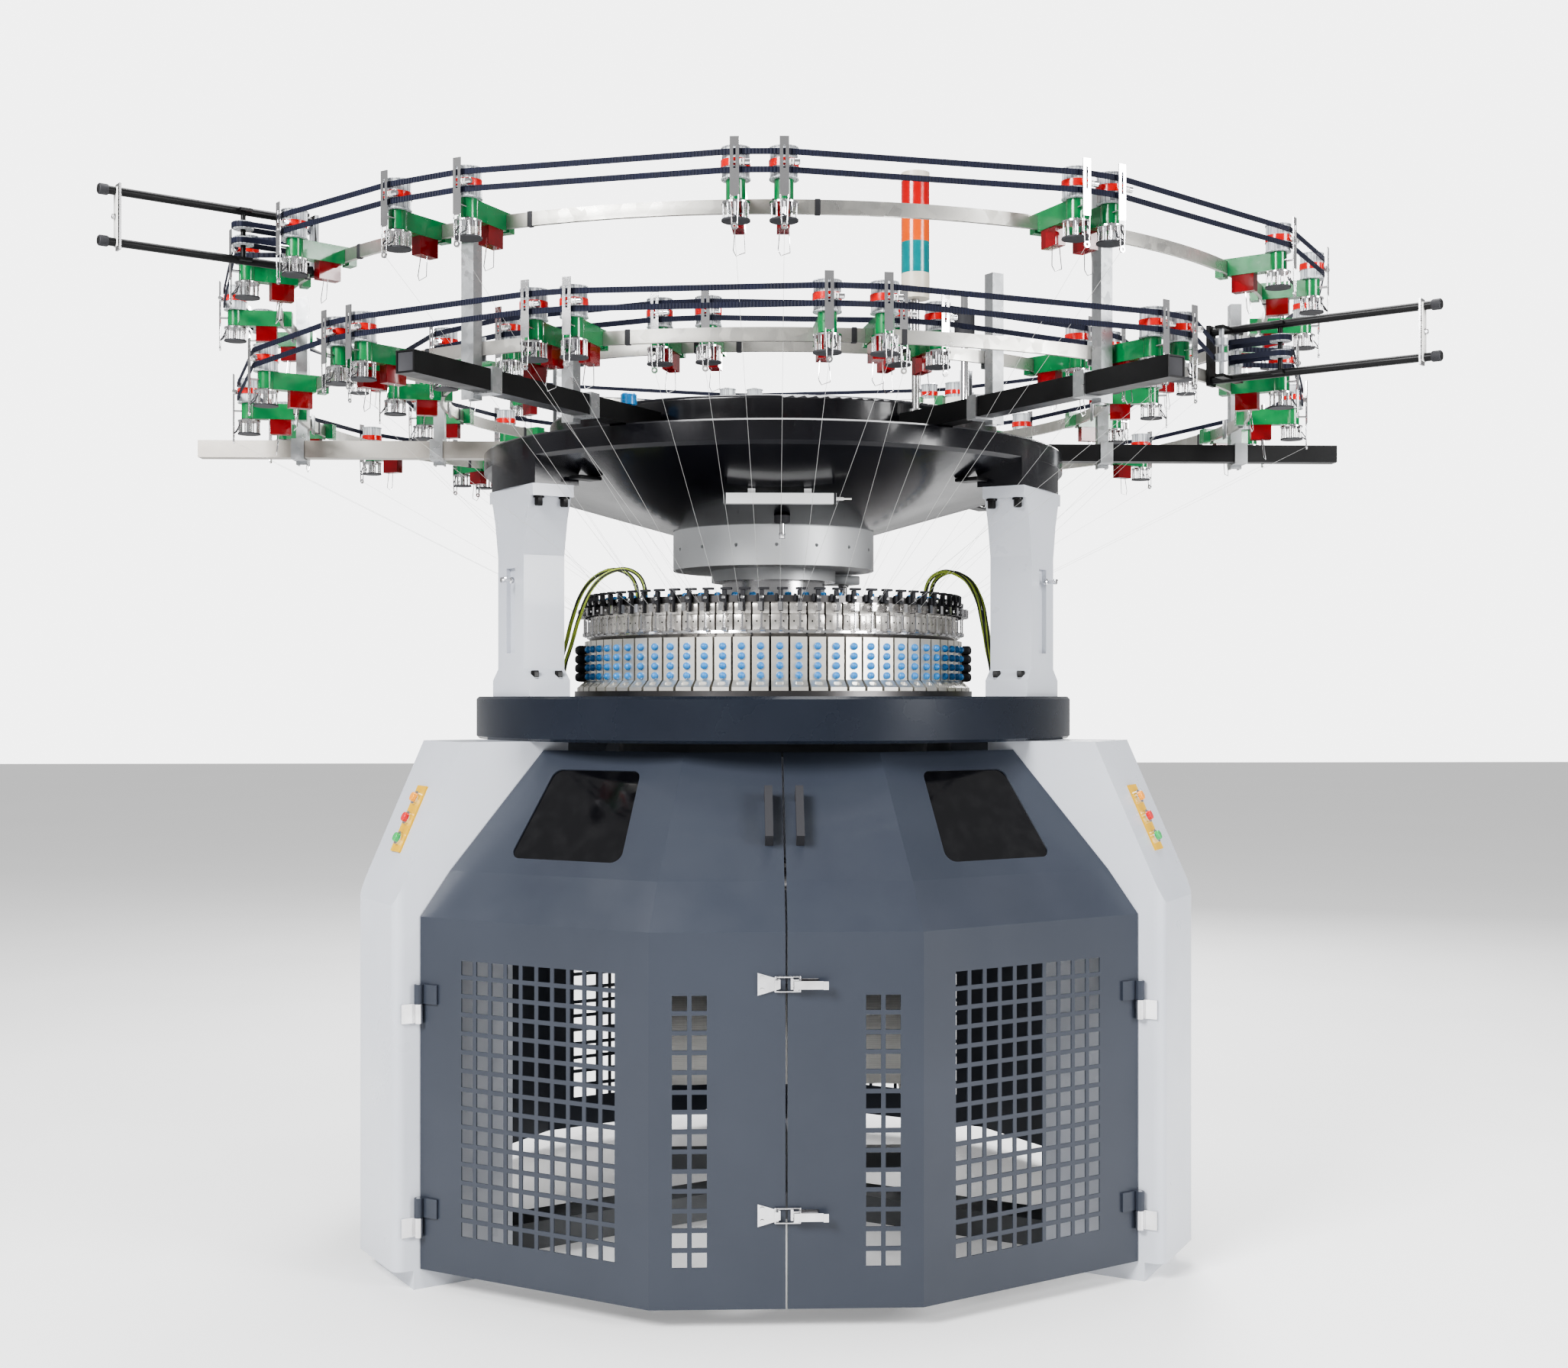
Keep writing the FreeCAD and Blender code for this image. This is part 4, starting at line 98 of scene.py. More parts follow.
# ---- shader building --------------------------------------------------------------------
class Wire:
    """A socket of a shader that takes part in arithmetic."""

    def __init__(self, shader: "Shader", socket: bpy.types.NodeSocket) -> None:
        """Keeps the shader that the socket belongs to, and the socket."""
        self.shader = shader
        self.socket = socket

    def _math(self, operation: str, first: object, second: object = 0.0) -> "Wire":
        """A Math node on one or two values.

        Args:
            operation: The node's operation.
            first: A number or a wire.
            second: A number or a wire.

        Returns:
            The node's result.
        """
        node = self.shader.add("ShaderNodeMath", {"operation": operation}, {0: first, 1: second})
        return Wire(self.shader, node.outputs[0])

    def __add__(self, other: object) -> "Wire":
        """self + other."""
        return self._math("ADD", self, other)

    __radd__ = __add__

    def __mul__(self, other: object) -> "Wire":
        """self * other."""
        return self._math("MULTIPLY", self, other)

    __rmul__ = __mul__

    def __sub__(self, other: object) -> "Wire":
        """self - other."""
        return self._math("SUBTRACT", self, other)

    def __rsub__(self, other: object) -> "Wire":
        """other - self."""
        return self._math("SUBTRACT", other, self)

    def __gt__(self, other: object) -> "Wire":
        """1 where self is the greater, and 0 elsewhere."""
        return self._math("GREATER_THAN", self, other)

    def __lt__(self, other: object) -> "Wire":
        """1 where self is the smaller, and 0 elsewhere."""
        return self._math("LESS_THAN", self, other)

    def __abs__(self) -> "Wire":
        """The size of self."""
        return self._math("ABSOLUTE", self)

    def sine(self) -> "Wire":
        """The sine of self in radians."""
        return self._math("SINE", self)

    def root(self) -> "Wire":
        """The square root of self."""
        return self._math("SQRT", self)

    def fraction(self) -> "Wire":
        """What is left of self above the whole number below it."""
        return self._math("FRACT", self)

    def angle_from(self, other: "Wire") -> "Wire":
        """The angle whose tangent is self over other."""
        return self._math("ARCTAN2", self, other)


class Shader:
    """One material on a Principled shader."""

    def __init__(self, name: str) -> None:
        """Starts the material with its shader and its output."""
        self.material = bpy.data.materials.new(name)
        self.material.use_nodes = True
        self.tree = self.material.node_tree
        self.tree.nodes.clear()
        self.surface = self.add("ShaderNodeBsdfPrincipled")
        output = self.add("ShaderNodeOutputMaterial")
        self.tree.links.new(self.surface.outputs[0], output.inputs["Surface"])
        self.place = self.add("ShaderNodeTexCoord")

    def add(self, kind: str, settings: dict | None = None, inputs: dict | None = None) -> bpy.types.Node:
        """Adds a node.

        Args:
            kind: The node's type.
            settings: Its own settings.
            inputs: A number, a colour or a wire for each of its sockets.

        Returns:
            The node.
        """
        node = self.tree.nodes.new(kind)
        for key, value in (settings or {}).items():
            setattr(node, key, value)
        for key, value in (inputs or {}).items():
            if isinstance(value, Wire):
                self.tree.links.new(value.socket, node.inputs[key])
            else:
                node.inputs[key].default_value = value
        return node

    def set(self, **sockets: object) -> None:
        """Sets or links sockets of the shader, written with underscores for spaces."""
        for key, value in sockets.items():
            socket = self.surface.inputs[key.replace("_", " ")]
            if isinstance(value, Wire):
                self.tree.links.new(value.socket, socket)
            else:
                socket.default_value = value

    def coordinates(self, scale: Sequence[float]) -> Wire:
        """Places on the piece, stretched by a scale along each axis."""
        node = self.add("ShaderNodeMapping", None,
                        {"Vector": Wire(self, self.place.outputs["Object"]), "Scale": tuple(scale)})
        return Wire(self, node.outputs[0])

    def axes(self) -> tuple[Wire, Wire, Wire]:
        """The x, y and z of the place on the piece."""
        node = self.add("ShaderNodeSeparateXYZ", None, {0: Wire(self, self.place.outputs["Object"])})
        return tuple(Wire(self, node.outputs[index]) for index in range(3))

    def noise(self, scale: float, detail: float = 3.0, stretch: Sequence[float] = (1.0, 1.0, 1.0)
              ) -> Wire:
        """Soft noise between 0 and 1.

        Args:
            scale: Grains a metre.
            detail: How much finer grain is mixed in.
            stretch: The scale along each axis.

        Returns:
            The noise.
        """
        node = self.add("ShaderNodeTexNoise", None,
                        {"Vector": self.coordinates([scale * s for s in stretch]),
                         "Scale": 1.0, "Detail": detail})
        return Wire(self, node.outputs["Fac"])

    def sharpened(self, wire: Wire, low: float, high: float) -> Wire:
        """A value spread so that low becomes 0 and high becomes 1, and cut off beyond."""
        node = self.add("ShaderNodeMapRange", {"clamp": True},
                        {"Value": wire, "From Min": low, "From Max": high})
        return Wire(self, node.outputs["Result"])

    def mix(self, share: Wire, first: Colour | Wire, second: Colour | Wire) -> Wire:
        """The first colour where share is 0 and the second where it is 1."""
        node = self.add("ShaderNodeMix", {"data_type": "RGBA"}, {0: share, 6: first, 7: second})
        return Wire(self, node.outputs[2])

    def bump(self, height: Wire, depth: float) -> None:
        """Raises the surface by a height, depth metres where it is 1."""
        node = self.add("ShaderNodeBump", None, {"Height": height, "Distance": depth, "Strength": 1.0})
        self.set(Normal=Wire(self, node.outputs[0]))


# ---- finishes ---------------------------------------------------------------------------
@dataclass(frozen=True)
class Coating:
    """Paint or plastic: two close colours, uneven gloss and a fine skin.

    Attributes:
        name: The material's name.
        colour: The main colour.
        shade: The colour that it drifts to in patches.
        gloss: The lowest and highest roughness.
        patch: Patches a metre.
        skin: Grains of the skin a metre.
        skin_depth: Depth of the skin.
        coat: Strength of the clear coat.
        glow: Strength of its own light.
        shine: Strength of its reflections.
    """

    name: str
    colour: Colour
    shade: Colour
    gloss: tuple[float, float] = (0.3, 0.42)
    patch: float = 4.0
    skin: float = 700.0
    skin_depth: float = 0.00004
    coat: float = 0.0
    glow: float = 0.0
    shine: float = 0.5

    def build(self) -> bpy.types.Material:
        """Makes the material."""
        shader = Shader(self.name)
        cloud = shader.sharpened(shader.noise(self.patch, 4.0), 0.32, 0.68)
        specks = shader.sharpened(shader.noise(self.patch * 60.0, 2.0), 0.62, 0.8)
        shader.set(Base_Color=shader.mix(cloud * 0.75 + specks * 0.25, self.colour, self.shade))
        low, high = self.gloss
        wiped = shader.sharpened(shader.noise(self.patch * 3.0, 5.0), 0.3, 0.7)
        shader.set(Roughness=wiped * (high - low) + low, Coat_Weight=self.coat, Coat_Roughness=0.06,
                   Specular_IOR_Level=self.shine)
        if self.glow:
            shader.set(Emission_Color=self.colour, Emission_Strength=self.glow)
        shader.bump(shader.noise(self.skin, 2.0), self.skin_depth)
        return shader.material


@dataclass(frozen=True)
class Metal:
    """Bare metal with a brushed or rolled grain.

    Attributes:
        name: The material's name.
        colour: The clean metal.
        stain: The duller metal in patches.
        gloss: The lowest and highest roughness.
        grain: Scale of the grain along each axis.
        grain_depth: Depth of the grain.
        patch: Stains a metre.
    """

    name: str
    colour: Colour
    stain: Colour
    gloss: tuple[float, float] = (0.18, 0.34)
    grain: tuple[float, float, float] = (60.0, 60.0, 900.0)
    grain_depth: float = 0.00003
    patch: float = 9.0

    def build(self) -> bpy.types.Material:
        """Makes the material."""
        shader = Shader(self.name)
        stain = shader.sharpened(shader.noise(self.patch, 5.0), 0.38, 0.7)
        lines = shader.noise(1.0, 3.0, self.grain)
        shader.set(Base_Color=shader.mix(stain * 0.7 + lines * 0.3, self.colour, self.stain), Metallic=1.0)
        low, high = self.gloss
        shader.set(Roughness=(stain * 0.5 + lines * 0.5) * (high - low) + low)
        shader.bump(lines, self.grain_depth)
        return shader.material


@dataclass(frozen=True)
class Galvanised:
    """Zinc-coated steel, with its crystals."""

    name: str
    colour: Colour
    shade: Colour
    crystals: float = 85.0

    def build(self) -> bpy.types.Material:
        """Makes the material."""
        shader = Shader(self.name)
        cells = shader.add("ShaderNodeTexVoronoi", None,
                           {"Vector": shader.coordinates([self.crystals] * 3), "Scale": 1.0})
        split = shader.add("ShaderNodeSeparateColor", None, {0: Wire(shader, cells.outputs["Color"])})
        crystal = Wire(shader, split.outputs[0])
        stain = shader.sharpened(shader.noise(11.0, 4.0), 0.35, 0.7)
        shader.set(Base_Color=shader.mix(crystal * 0.45 + stain * 0.55, self.colour, self.shade),
                   Metallic=0.9, Roughness=crystal * 0.14 + stain * 0.12 + 0.24)
        shader.bump(shader.noise(420.0, 2.0), 0.00005)
        return shader.material


@dataclass(frozen=True)
class AnodisedKnobs:
    """Blue anodised domes, each with a dark drive hole at its tip and a painted highlight: a lighter blue
    ring round the hole.
    """

    name: str
    colour: Colour
    shade: Colour
    tip_radius: float = 0.45572
    painted_highlight_radius: float = 0.4532

    def build(self) -> bpy.types.Material:
        """Makes the material."""
        shader = Shader(self.name)
        x, y, _ = shader.axes()
        tip = (x * x + y * y).root() > self.tip_radius
        tint = shader.sharpened(shader.noise(260.0, 2.0), 0.3, 0.7)
        # painted highlight: the blue is lighter in a ring round the tip, where the dome reflects the light
        painted_highlight = (x * x + y * y).root() > self.painted_highlight_radius
        blue = shader.mix(tint * 0.5 + painted_highlight * 0.5, self.shade, self.colour)
        shader.set(Base_Color=shader.mix(tip, blue, rgb(0.004, 0.006, 0.012)), Metallic=0.85,
                   Roughness=tint * 0.1 + 0.14)
        shader.set(Coat_Weight=0.6, Coat_Roughness=0.05)
        shader.bump(shader.noise(900.0, 2.0), 0.00002)
        return shader.material


@dataclass(frozen=True)
class Toothed:
    """A rubber or plastic surface with teeth all round the machine's axis or along its height."""

    name: str
    colour: Colour
    shade: Colour
    teeth: float
    depth: float
    gloss: float = 0.5
    shine: float = 0.5

    def build(self) -> bpy.types.Material:
        """Makes the material."""
        shader = Shader(self.name)
        x, y, _ = shader.axes()
        wave = (y.angle_from(x) * self.teeth).sine() * 0.5 + 0.5
        wear = shader.sharpened(shader.noise(30.0, 4.0), 0.35, 0.7)
        shader.set(Base_Color=shader.mix(wave * 0.5 + wear * 0.5, self.colour, self.shade),
                   Roughness=wear * 0.16 + self.gloss, Specular_IOR_Level=self.shine)
        shader.bump(wave, self.depth)
        return shader.material


@dataclass(frozen=True)
class PulleyRibs:
    """Pale pulley plastic with upright ribs that are too many to count, and painted shade in the grooves
    between them.
    """

    name: str
    colour: Colour
    painted_groove_shade: Colour

    def build(self) -> bpy.types.Material:
        """Makes the material."""
        shader = Shader(self.name)
        ribs = shader.sharpened(shader.noise(330.0, 1.0, (1.0, 1.0, 0.02)), 0.42, 0.56)
        cloud = shader.noise(40.0, 3.0)
        # painted shade: the grooves between the ribs get a much darker colour than the ribs
        shader.set(Base_Color=shader.mix(ribs * 0.8 + cloud * 0.2, self.painted_groove_shade, self.colour),
                   Roughness=cloud * 0.2 + 0.3)
        shader.bump(ribs, 0.0006)
        return shader.material


@dataclass(frozen=True)
class DialSteel:
    """Ground steel of the dial's blocks, with two small holes in each."""

    name: str
    colour: Colour
    stain: Colour
    hole_z: float = 1.384
    hole_radius: float = 0.0019
    hole_share: float = 0.22
    block_radius: float = 0.434

    def build(self) -> bpy.types.Material:
        """Makes the material."""
        shader = Shader(self.name)
        x, y, z = shader.axes()
        share = (x.angle_from(0.0 - y) * (BLOCK_COUNT / math.tau) + 0.5 + BLOCK_COUNT).fraction()
        pitch = math.tau * self.block_radius / BLOCK_COUNT
        across = (abs(share - 0.5) - self.hole_share) * pitch
        along = z - self.hole_z
        hole = (across * across + along * along).root() < self.hole_radius
        stain = shader.sharpened(shader.noise(30.0, 5.0), 0.4, 0.72)
        steel = shader.mix(stain, self.colour, self.stain)
        shader.set(Base_Color=shader.mix(hole, steel, rgb(0.004, 0.004, 0.004)), Metallic=0.75,
                   Roughness=stain * 0.2 + 0.22)
        shader.bump(shader.noise(1.0, 2.0, (500.0, 500.0, 60.0)), 0.00002)
        return shader.material


@dataclass(frozen=True)
class ClearPlastic:
    """Tinted clear plastic or smoked glass, with wiped marks."""

    name: str
    colour: Colour
    shade: Colour
    clearness: float
    gloss: float = 0.06

    def build(self) -> bpy.types.Material:
        """Makes the material."""
        shader = Shader(self.name)
        marks = shader.sharpened(shader.noise(26.0, 5.0), 0.45, 0.8)
        shader.set(Base_Color=shader.mix(marks, self.colour, self.shade),
                   Roughness=marks * 0.12 + self.gloss, Transmission_Weight=self.clearness, IOR=1.49)
        shader.set(Coat_Weight=0.15, Coat_Roughness=0.04)
        shader.bump(shader.noise(90.0, 2.0), 0.00003)
        return shader.material


@dataclass(frozen=True)
class Spun:
    """Twisted yarn or knitted cloth, lit from within by its fibres."""

    name: str
    colour: Colour
    shade: Colour
    rows: tuple[float, float, float]
    depth: float

    def build(self) -> bpy.types.Material:
        """Makes the material."""
        shader = Shader(self.name)
        x, y, z = shader.axes()
        a, b, c = self.rows
        stitches = ((x * a + y * b + z * c).sine() * (z * c * 0.5 - x * a).sine()) * 0.5 + 0.5
        fuzz = shader.noise(900.0, 3.0)
        shader.set(Base_Color=shader.mix(stitches * 0.6 + fuzz * 0.4, self.shade, self.colour),
                   Roughness=fuzz * 0.1 + 0.75, Sheen_Weight=0.4, Sheen_Roughness=0.5)
        shader.bump(stitches, self.depth)
        return shader.material


class Finish(Enum):
    """The finishes of the machine's pieces."""

    ENAMEL = Coating("cool_grey_enamel", rgb(0.53, 0.55, 0.59), rgb(0.44, 0.46, 0.51), (0.26, 0.4), 2.2,
                     420.0, 0.00006, coat=0.25)
    BED = Coating("bed_blue_black", rgb(0.008, 0.011, 0.018), rgb(0.014, 0.018, 0.028), (0.24, 0.3), 2.4,
                  300.0, 0.00008, coat=0.1, shine=0.32)
    DOME = Coating("dome_black", rgb(0.003, 0.003, 0.005), rgb(0.008, 0.008, 0.011), (0.14, 0.28), 1.6,
                   260.0, 0.00006, coat=0.12, shine=0.4)
    DOOR = Coating("slate_grey", rgb(0.031, 0.037, 0.051), rgb(0.025, 0.03, 0.042), (0.32, 0.42), 3.0,
                   520.0, 0.00008, coat=0.05, shine=0.4)
    HUB = Coating("hub_grey", rgb(0.5, 0.52, 0.55), rgb(0.4, 0.42, 0.45), (0.24, 0.36), 5.0, 400.0, 0.00004,
                  coat=0.3)
    IRON = Coating("primed_iron", rgb(0.09, 0.095, 0.1), rgb(0.06, 0.062, 0.066), (0.45, 0.62), 9.0, 240.0,
                   0.0002)
    IVORY = Coating("ivory_block", rgb(0.8, 0.79, 0.76), rgb(0.7, 0.68, 0.64), (0.24, 0.36), 18.0, 800.0,
                    0.00003, coat=0.2)
    BLACK_PAINT = Coating("satin_black", rgb(0.004, 0.004, 0.0045), rgb(0.008, 0.008, 0.0085), (0.3, 0.44),
                          6.0, 500.0, 0.00008, shine=0.22)
    BLACK_PLASTIC = Coating("black_plastic", rgb(0.005, 0.005, 0.0055), rgb(0.012, 0.012, 0.0125),
                            (0.28, 0.44), 20.0, 900.0, 0.00006, shine=0.22)
    GREEN = Coating("green_housing", rgb(0.004, 0.165, 0.045), rgb(0.003, 0.1, 0.03), (0.16, 0.28), 22.0,
                    500.0, 0.00005, coat=0.5)
    RED_DISC = Coating("red_clutch", rgb(0.52, 0.006, 0.004), rgb(0.4, 0.004, 0.003), (0.14, 0.24), 30.0,
                       700.0, 0.00003, coat=0.3)
    WHITE = Coating("white_ceramic", rgb(0.83, 0.82, 0.79), rgb(0.74, 0.73, 0.7), (0.1, 0.2), 30.0, 900.0,
                    0.00002, coat=0.5)
    LAMP = Coating("lamp_white", rgb(0.85, 0.86, 0.88), rgb(0.78, 0.79, 0.81), (0.2, 0.3), 12.0, 700.0,
                   0.00003, coat=0.2, glow=0.12)
    YELLOW = Coating("yellow_panel", rgb(0.72, 0.42, 0.012), rgb(0.6, 0.34, 0.01), (0.28, 0.4), 16.0, 700.0,
                     0.00004, coat=0.2)
    AMBER = Coating("amber_button", rgb(0.9, 0.34, 0.01), rgb(0.75, 0.26, 0.008), (0.16, 0.24), 40.0, 700.0,
                    0.00002, coat=0.5, glow=0.1)
    RED = Coating("red_button", rgb(0.62, 0.01, 0.012), rgb(0.5, 0.008, 0.01), (0.16, 0.24), 40.0, 700.0,
                  0.00002, coat=0.5, glow=0.05)
    LIGHT_GREEN = Coating("green_button", rgb(0.02, 0.4, 0.09), rgb(0.015, 0.3, 0.07), (0.16, 0.24), 40.0,
                          700.0, 0.00002, coat=0.5, glow=0.05)
    BLUE_CAP = Coating("blue_cap", rgb(0.02, 0.25, 0.6), rgb(0.015, 0.2, 0.5), (0.2, 0.3), 40.0, 700.0,
                       0.00003, coat=0.4)
    TEAL_LENS = Coating("tower_teal", rgb(0.003, 0.17, 0.18), rgb(0.002, 0.12, 0.14), (0.14, 0.24), 26.0,
                        300.0, 0.00005, coat=0.15, glow=0.02)
    ORANGE_LENS = Coating("tower_orange", rgb(0.62, 0.085, 0.003), rgb(0.5, 0.06, 0.002), (0.14, 0.24),
                          26.0, 300.0, 0.00005, coat=0.15, glow=0.02)
    RED_LENS = Coating("tower_red", rgb(0.42, 0.003, 0.003), rgb(0.32, 0.002, 0.002), (0.14, 0.24), 26.0,
                       300.0, 0.00005, coat=0.15, glow=0.02)
    BEIGE = Coating("tower_beige", rgb(0.6, 0.55, 0.46), rgb(0.52, 0.47, 0.39), (0.34, 0.46), 22.0, 600.0,
                    0.00005)
    WIRE_LIME = Coating("wire_yellow_green", rgb(0.38, 0.46, 0.07), rgb(0.2, 0.3, 0.05), (0.34, 0.48), 26.0,
                        500.0, 0.00006)
    STEEL = Metal("ground_steel", rgb(0.56, 0.56, 0.57), rgb(0.36, 0.35, 0.35))
    DARK_STEEL = Metal("dark_steel", rgb(0.17, 0.165, 0.165), rgb(0.09, 0.085, 0.085), (0.24, 0.4))
    BRIGHT = Metal("bright_plate", rgb(0.78, 0.78, 0.79), rgb(0.6, 0.59, 0.6), (0.08, 0.2),
                   (90.0, 90.0, 500.0), 0.00002, 22.0)
    WARM_STEEL = Metal("bare_tube_steel", rgb(0.5, 0.48, 0.45), rgb(0.3, 0.275, 0.245), (0.26, 0.44),
                       (500.0, 500.0, 500.0), 0.00002, 7.0)
    ZINC = Galvanised("galvanised", rgb(0.5, 0.51, 0.52), rgb(0.32, 0.33, 0.34))
    RING_ZINC = Galvanised("ring_bar", rgb(0.6, 0.59, 0.56), rgb(0.38, 0.37, 0.34), 50.0)
    # the first blue also paints the painted highlight ring round each knob's tip
    KNOB = AnodisedKnobs("blue_knob", rgb(0.003, 0.075, 0.36), rgb(0.001, 0.03, 0.16))
    BELT = Toothed("navy_belt", rgb(0.003, 0.004, 0.012), rgb(0.009, 0.011, 0.028), 1300.0, 0.0008, 0.55,
                   0.2)
    NEEDLES = Toothed("needle_steel", rgb(0.3, 0.3, 0.3), rgb(0.08, 0.08, 0.08), 1700.0, 0.0008, 0.3)
    # the second colour is the painted shade in the pulleys' grooves
    PULLEY = PulleyRibs("pulley_ribs", rgb(0.62, 0.64, 0.66), rgb(0.2, 0.21, 0.23))
    DIAL_BLOCK = DialSteel("dial_block_steel", rgb(0.62, 0.6, 0.57), rgb(0.44, 0.42, 0.39))
    STOP_BOX = ClearPlastic("dark_red_lens", rgb(0.2, 0.004, 0.006), rgb(0.12, 0.003, 0.004), 0.25)
    SMOKED = ClearPlastic("smoked_window", rgb(0.003, 0.003, 0.004), rgb(0.008, 0.008, 0.009), 0.0)
    YARN = Spun("white_yarn", rgb(0.5, 0.5, 0.49), rgb(0.36, 0.36, 0.35), (0.0, 0.0, 2600.0), 0.0002)
    CLOTH = Spun("knitted_cloth", rgb(0.8, 0.79, 0.76), rgb(0.55, 0.54, 0.51), (1800.0, 0.0, 900.0), 0.0008)

    def material(self) -> bpy.types.Material:
        """The finish's material, made the first time that it is asked for."""
        found = bpy.data.materials.get(self.value.name)
        return found if found else self.value.build()


# ---- modelling --------------------------------------------------------------------------
class Bench:
    """Modelling steps, each done with the editor's own operators."""

    @staticmethod
    def fresh() -> None:
        """Leaves edit mode and deselects everything."""
        if bpy.context.object is not None and bpy.context.object.mode != "OBJECT":
            bpy.ops.object.mode_set(mode="OBJECT")
        bpy.ops.object.select_all(action="DESELECT")

    @staticmethod
    def settle(name: str, finish: Finish) -> bpy.types.Object:
        """Leaves edit mode, puts the piece's place in its mesh, names it and gives it a finish."""
        piece = bpy.context.object
        if piece.mode != "OBJECT":
            bpy.ops.object.mode_set(mode="OBJECT")
        bpy.ops.object.transform_apply(location=True, rotation=True, scale=True)
        piece.name = name
        piece.data.name = name
        piece.data.materials.clear()
        piece.data.materials.append(finish.material())
        return piece

    @classmethod
    def lathe(cls, name: str, profile: Profile, finish: Finish, sides: int = 24) -> bpy.types.Object:
        """A solid of revolution about Z, grown upwards from its lowest circle.

        Args:
            name: The piece's name.
            profile: Radius and height of each step.
            finish: Its finish.
            sides: Sides round the axis.

        Returns:
            The piece.
        """
        cls.fresh()
        (radius, z), *rest = profile
        bpy.ops.mesh.primitive_circle_add(vertices=sides, radius=radius, fill_type="NGON", location=(0, 0, z))
        bpy.ops.object.mode_set(mode="EDIT")
        bpy.ops.mesh.select_mode(type="FACE")
        bpy.ops.mesh.select_all(action="SELECT")
        for next_radius, next_z in rest:
            bpy.ops.mesh.extrude_region_move(TRANSFORM_OT_translate={"value": (0, 0, next_z - z)})
            share = next_radius / radius
            bpy.ops.transform.resize(value=(share, share, 1), center_override=(0, 0, next_z))
            radius, z = next_radius, next_z
        bpy.ops.mesh.select_all(action="SELECT")
        bpy.ops.mesh.normals_make_consistent(inside=False)
        return cls.settle(name, finish)

    @classmethod
    def hoop(cls, name: str, profile: Profile, finish: Finish, sides: int = 96) -> bpy.types.Object:
        """A closed ring about Z, grown from one circle of edges round its section and back.

        Args:
            name: The piece's name.
            profile: Radius and height of each corner of the section.
            finish: Its finish.
            sides: Sides round the axis.

        Returns:
            The piece.
        """
        cls.fresh()
        (radius, z), *rest = profile
        bpy.ops.mesh.primitive_circle_add(vertices=sides, radius=radius, location=(0, 0, z))
        bpy.ops.object.mode_set(mode="EDIT")
        bpy.ops.mesh.select_mode(type="EDGE")
        bpy.ops.mesh.select_all(action="SELECT")
        for next_radius, next_z in [*rest, profile[0]]:
            bpy.ops.mesh.extrude_region_move(TRANSFORM_OT_translate={"value": (0, 0, next_z - z)})
            share = next_radius / radius
            bpy.ops.transform.resize(value=(share, share, 1), center_override=(0, 0, next_z))
            radius, z = next_radius, next_z
        bpy.ops.mesh.select_all(action="SELECT")
        bpy.ops.mesh.remove_doubles(threshold=0.00001)
        bpy.ops.mesh.normals_make_consistent(inside=False)
        return cls.settle(name, finish)

    @classmethod
    def slab(cls, name: str, size: Sequence[float], middle: Sequence[float], finish: Finish,
             edge: float = 0.0008, segments: int = 1) -> bpy.types.Object:
        """A block with bevelled edges.

        Args:
            name: The piece's name.
            size: Its length along each axis.
            middle: Its middle.
            finish: Its finish.
            edge: Width of the bevel.
            segments: Steps of the bevel.

        Returns:
            The piece.
        """
        cls.fresh()
        bpy.ops.mesh.primitive_cube_add(size=1, location=middle)
        bpy.context.object.scale = size
        bpy.ops.object.transform_apply(location=True, rotation=True, scale=True)
        bpy.ops.object.mode_set(mode="EDIT")
        bpy.ops.mesh.select_all(action="SELECT")
        bpy.ops.mesh.bevel(offset=edge, segments=segments, affect="EDGES")
        return cls.settle(name, finish)

    @classmethod
    def picked(cls, piece: bpy.types.Object) -> None:
        """Leaves a piece alone selected and active."""
        cls.fresh()
        piece.select_set(True)
        bpy.context.view_layer.objects.active = piece

    @classmethod
    def pressed(cls, piece: bpy.types.Object, pick: Callable[[Vector, Vector], bool], border: float,
                depth: float) -> None:
        """Insets the picked faces and moves them along their normals.

        Args:
            piece: The piece.
            pick: Says of a face's middle and normal whether it is worked on.
            border: Width of the inset.
            depth: How far the inset face moves, outwards if positive.
        """
        cls.picked(piece)
        bpy.ops.object.mode_set(mode="EDIT")
        bpy.ops.mesh.select_mode(type="FACE")
        bpy.ops.mesh.select_all(action="DESELECT")
        bpy.ops.object.mode_set(mode="OBJECT")
        for face in piece.data.polygons:
            face.select = pick(face.center, face.normal)
        bpy.ops.object.mode_set(mode="EDIT")
        bpy.ops.mesh.inset(thickness=border, depth=depth)
        bpy.ops.object.mode_set(mode="OBJECT")

    @classmethod
    def wire(cls, name: str, points: Sequence[Sequence[float]], radius: float, finish: Finish,
             sides: int = 1) -> bpy.types.Object:
        """A bent wire as a mesh.

        Args:
            name: The piece's name.
            points: The corners of its line.
            radius: Half its thickness.
            finish: Its finish.
            sides: How finely it is rounded.

        Returns:
            The piece.
        """
        piece = cls.line(name, points, radius, False, sides)
        bpy.context.scene.collection.objects.link(piece)
        cls.picked(piece)
        bpy.ops.object.convert(target="MESH")
        return cls.settle(name, finish)

    @staticmethod
    def line(name: str, points: Sequence[Sequence[float]], radius: float, smooth: bool, sides: int = 1
             ) -> bpy.types.Object:
        """A curve object of one open spline through or near its points."""
        data = bpy.data.curves.new(name, "CURVE")
        data.dimensions = "3D"
        data.bevel_depth = radius
        data.bevel_resolution = sides
        data.use_fill_caps = radius > 0.0
        spline = data.splines.new("NURBS" if smooth else "POLY")
        spline.points.add(len(points) - 1)
        for mark, point in zip(spline.points, points):
            mark.co = (*point, 1.0)
        if smooth:
            spline.order_u = 3
            spline.use_endpoint_u = True
        return bpy.data.objects.new(name, data)

    @classmethod
    def joined(cls, name: str, pieces: Sequence[bpy.types.Object]) -> bpy.types.Object:
        """One piece made of several, which keep their finishes."""
        cls.fresh()
        for piece in pieces:
            piece.select_set(True)
        bpy.context.view_layer.objects.active = pieces[0]
        if len(pieces) > 1:
            bpy.ops.object.join()
        pieces[0].name = name
        pieces[0].data.name = name
        return pieces[0]

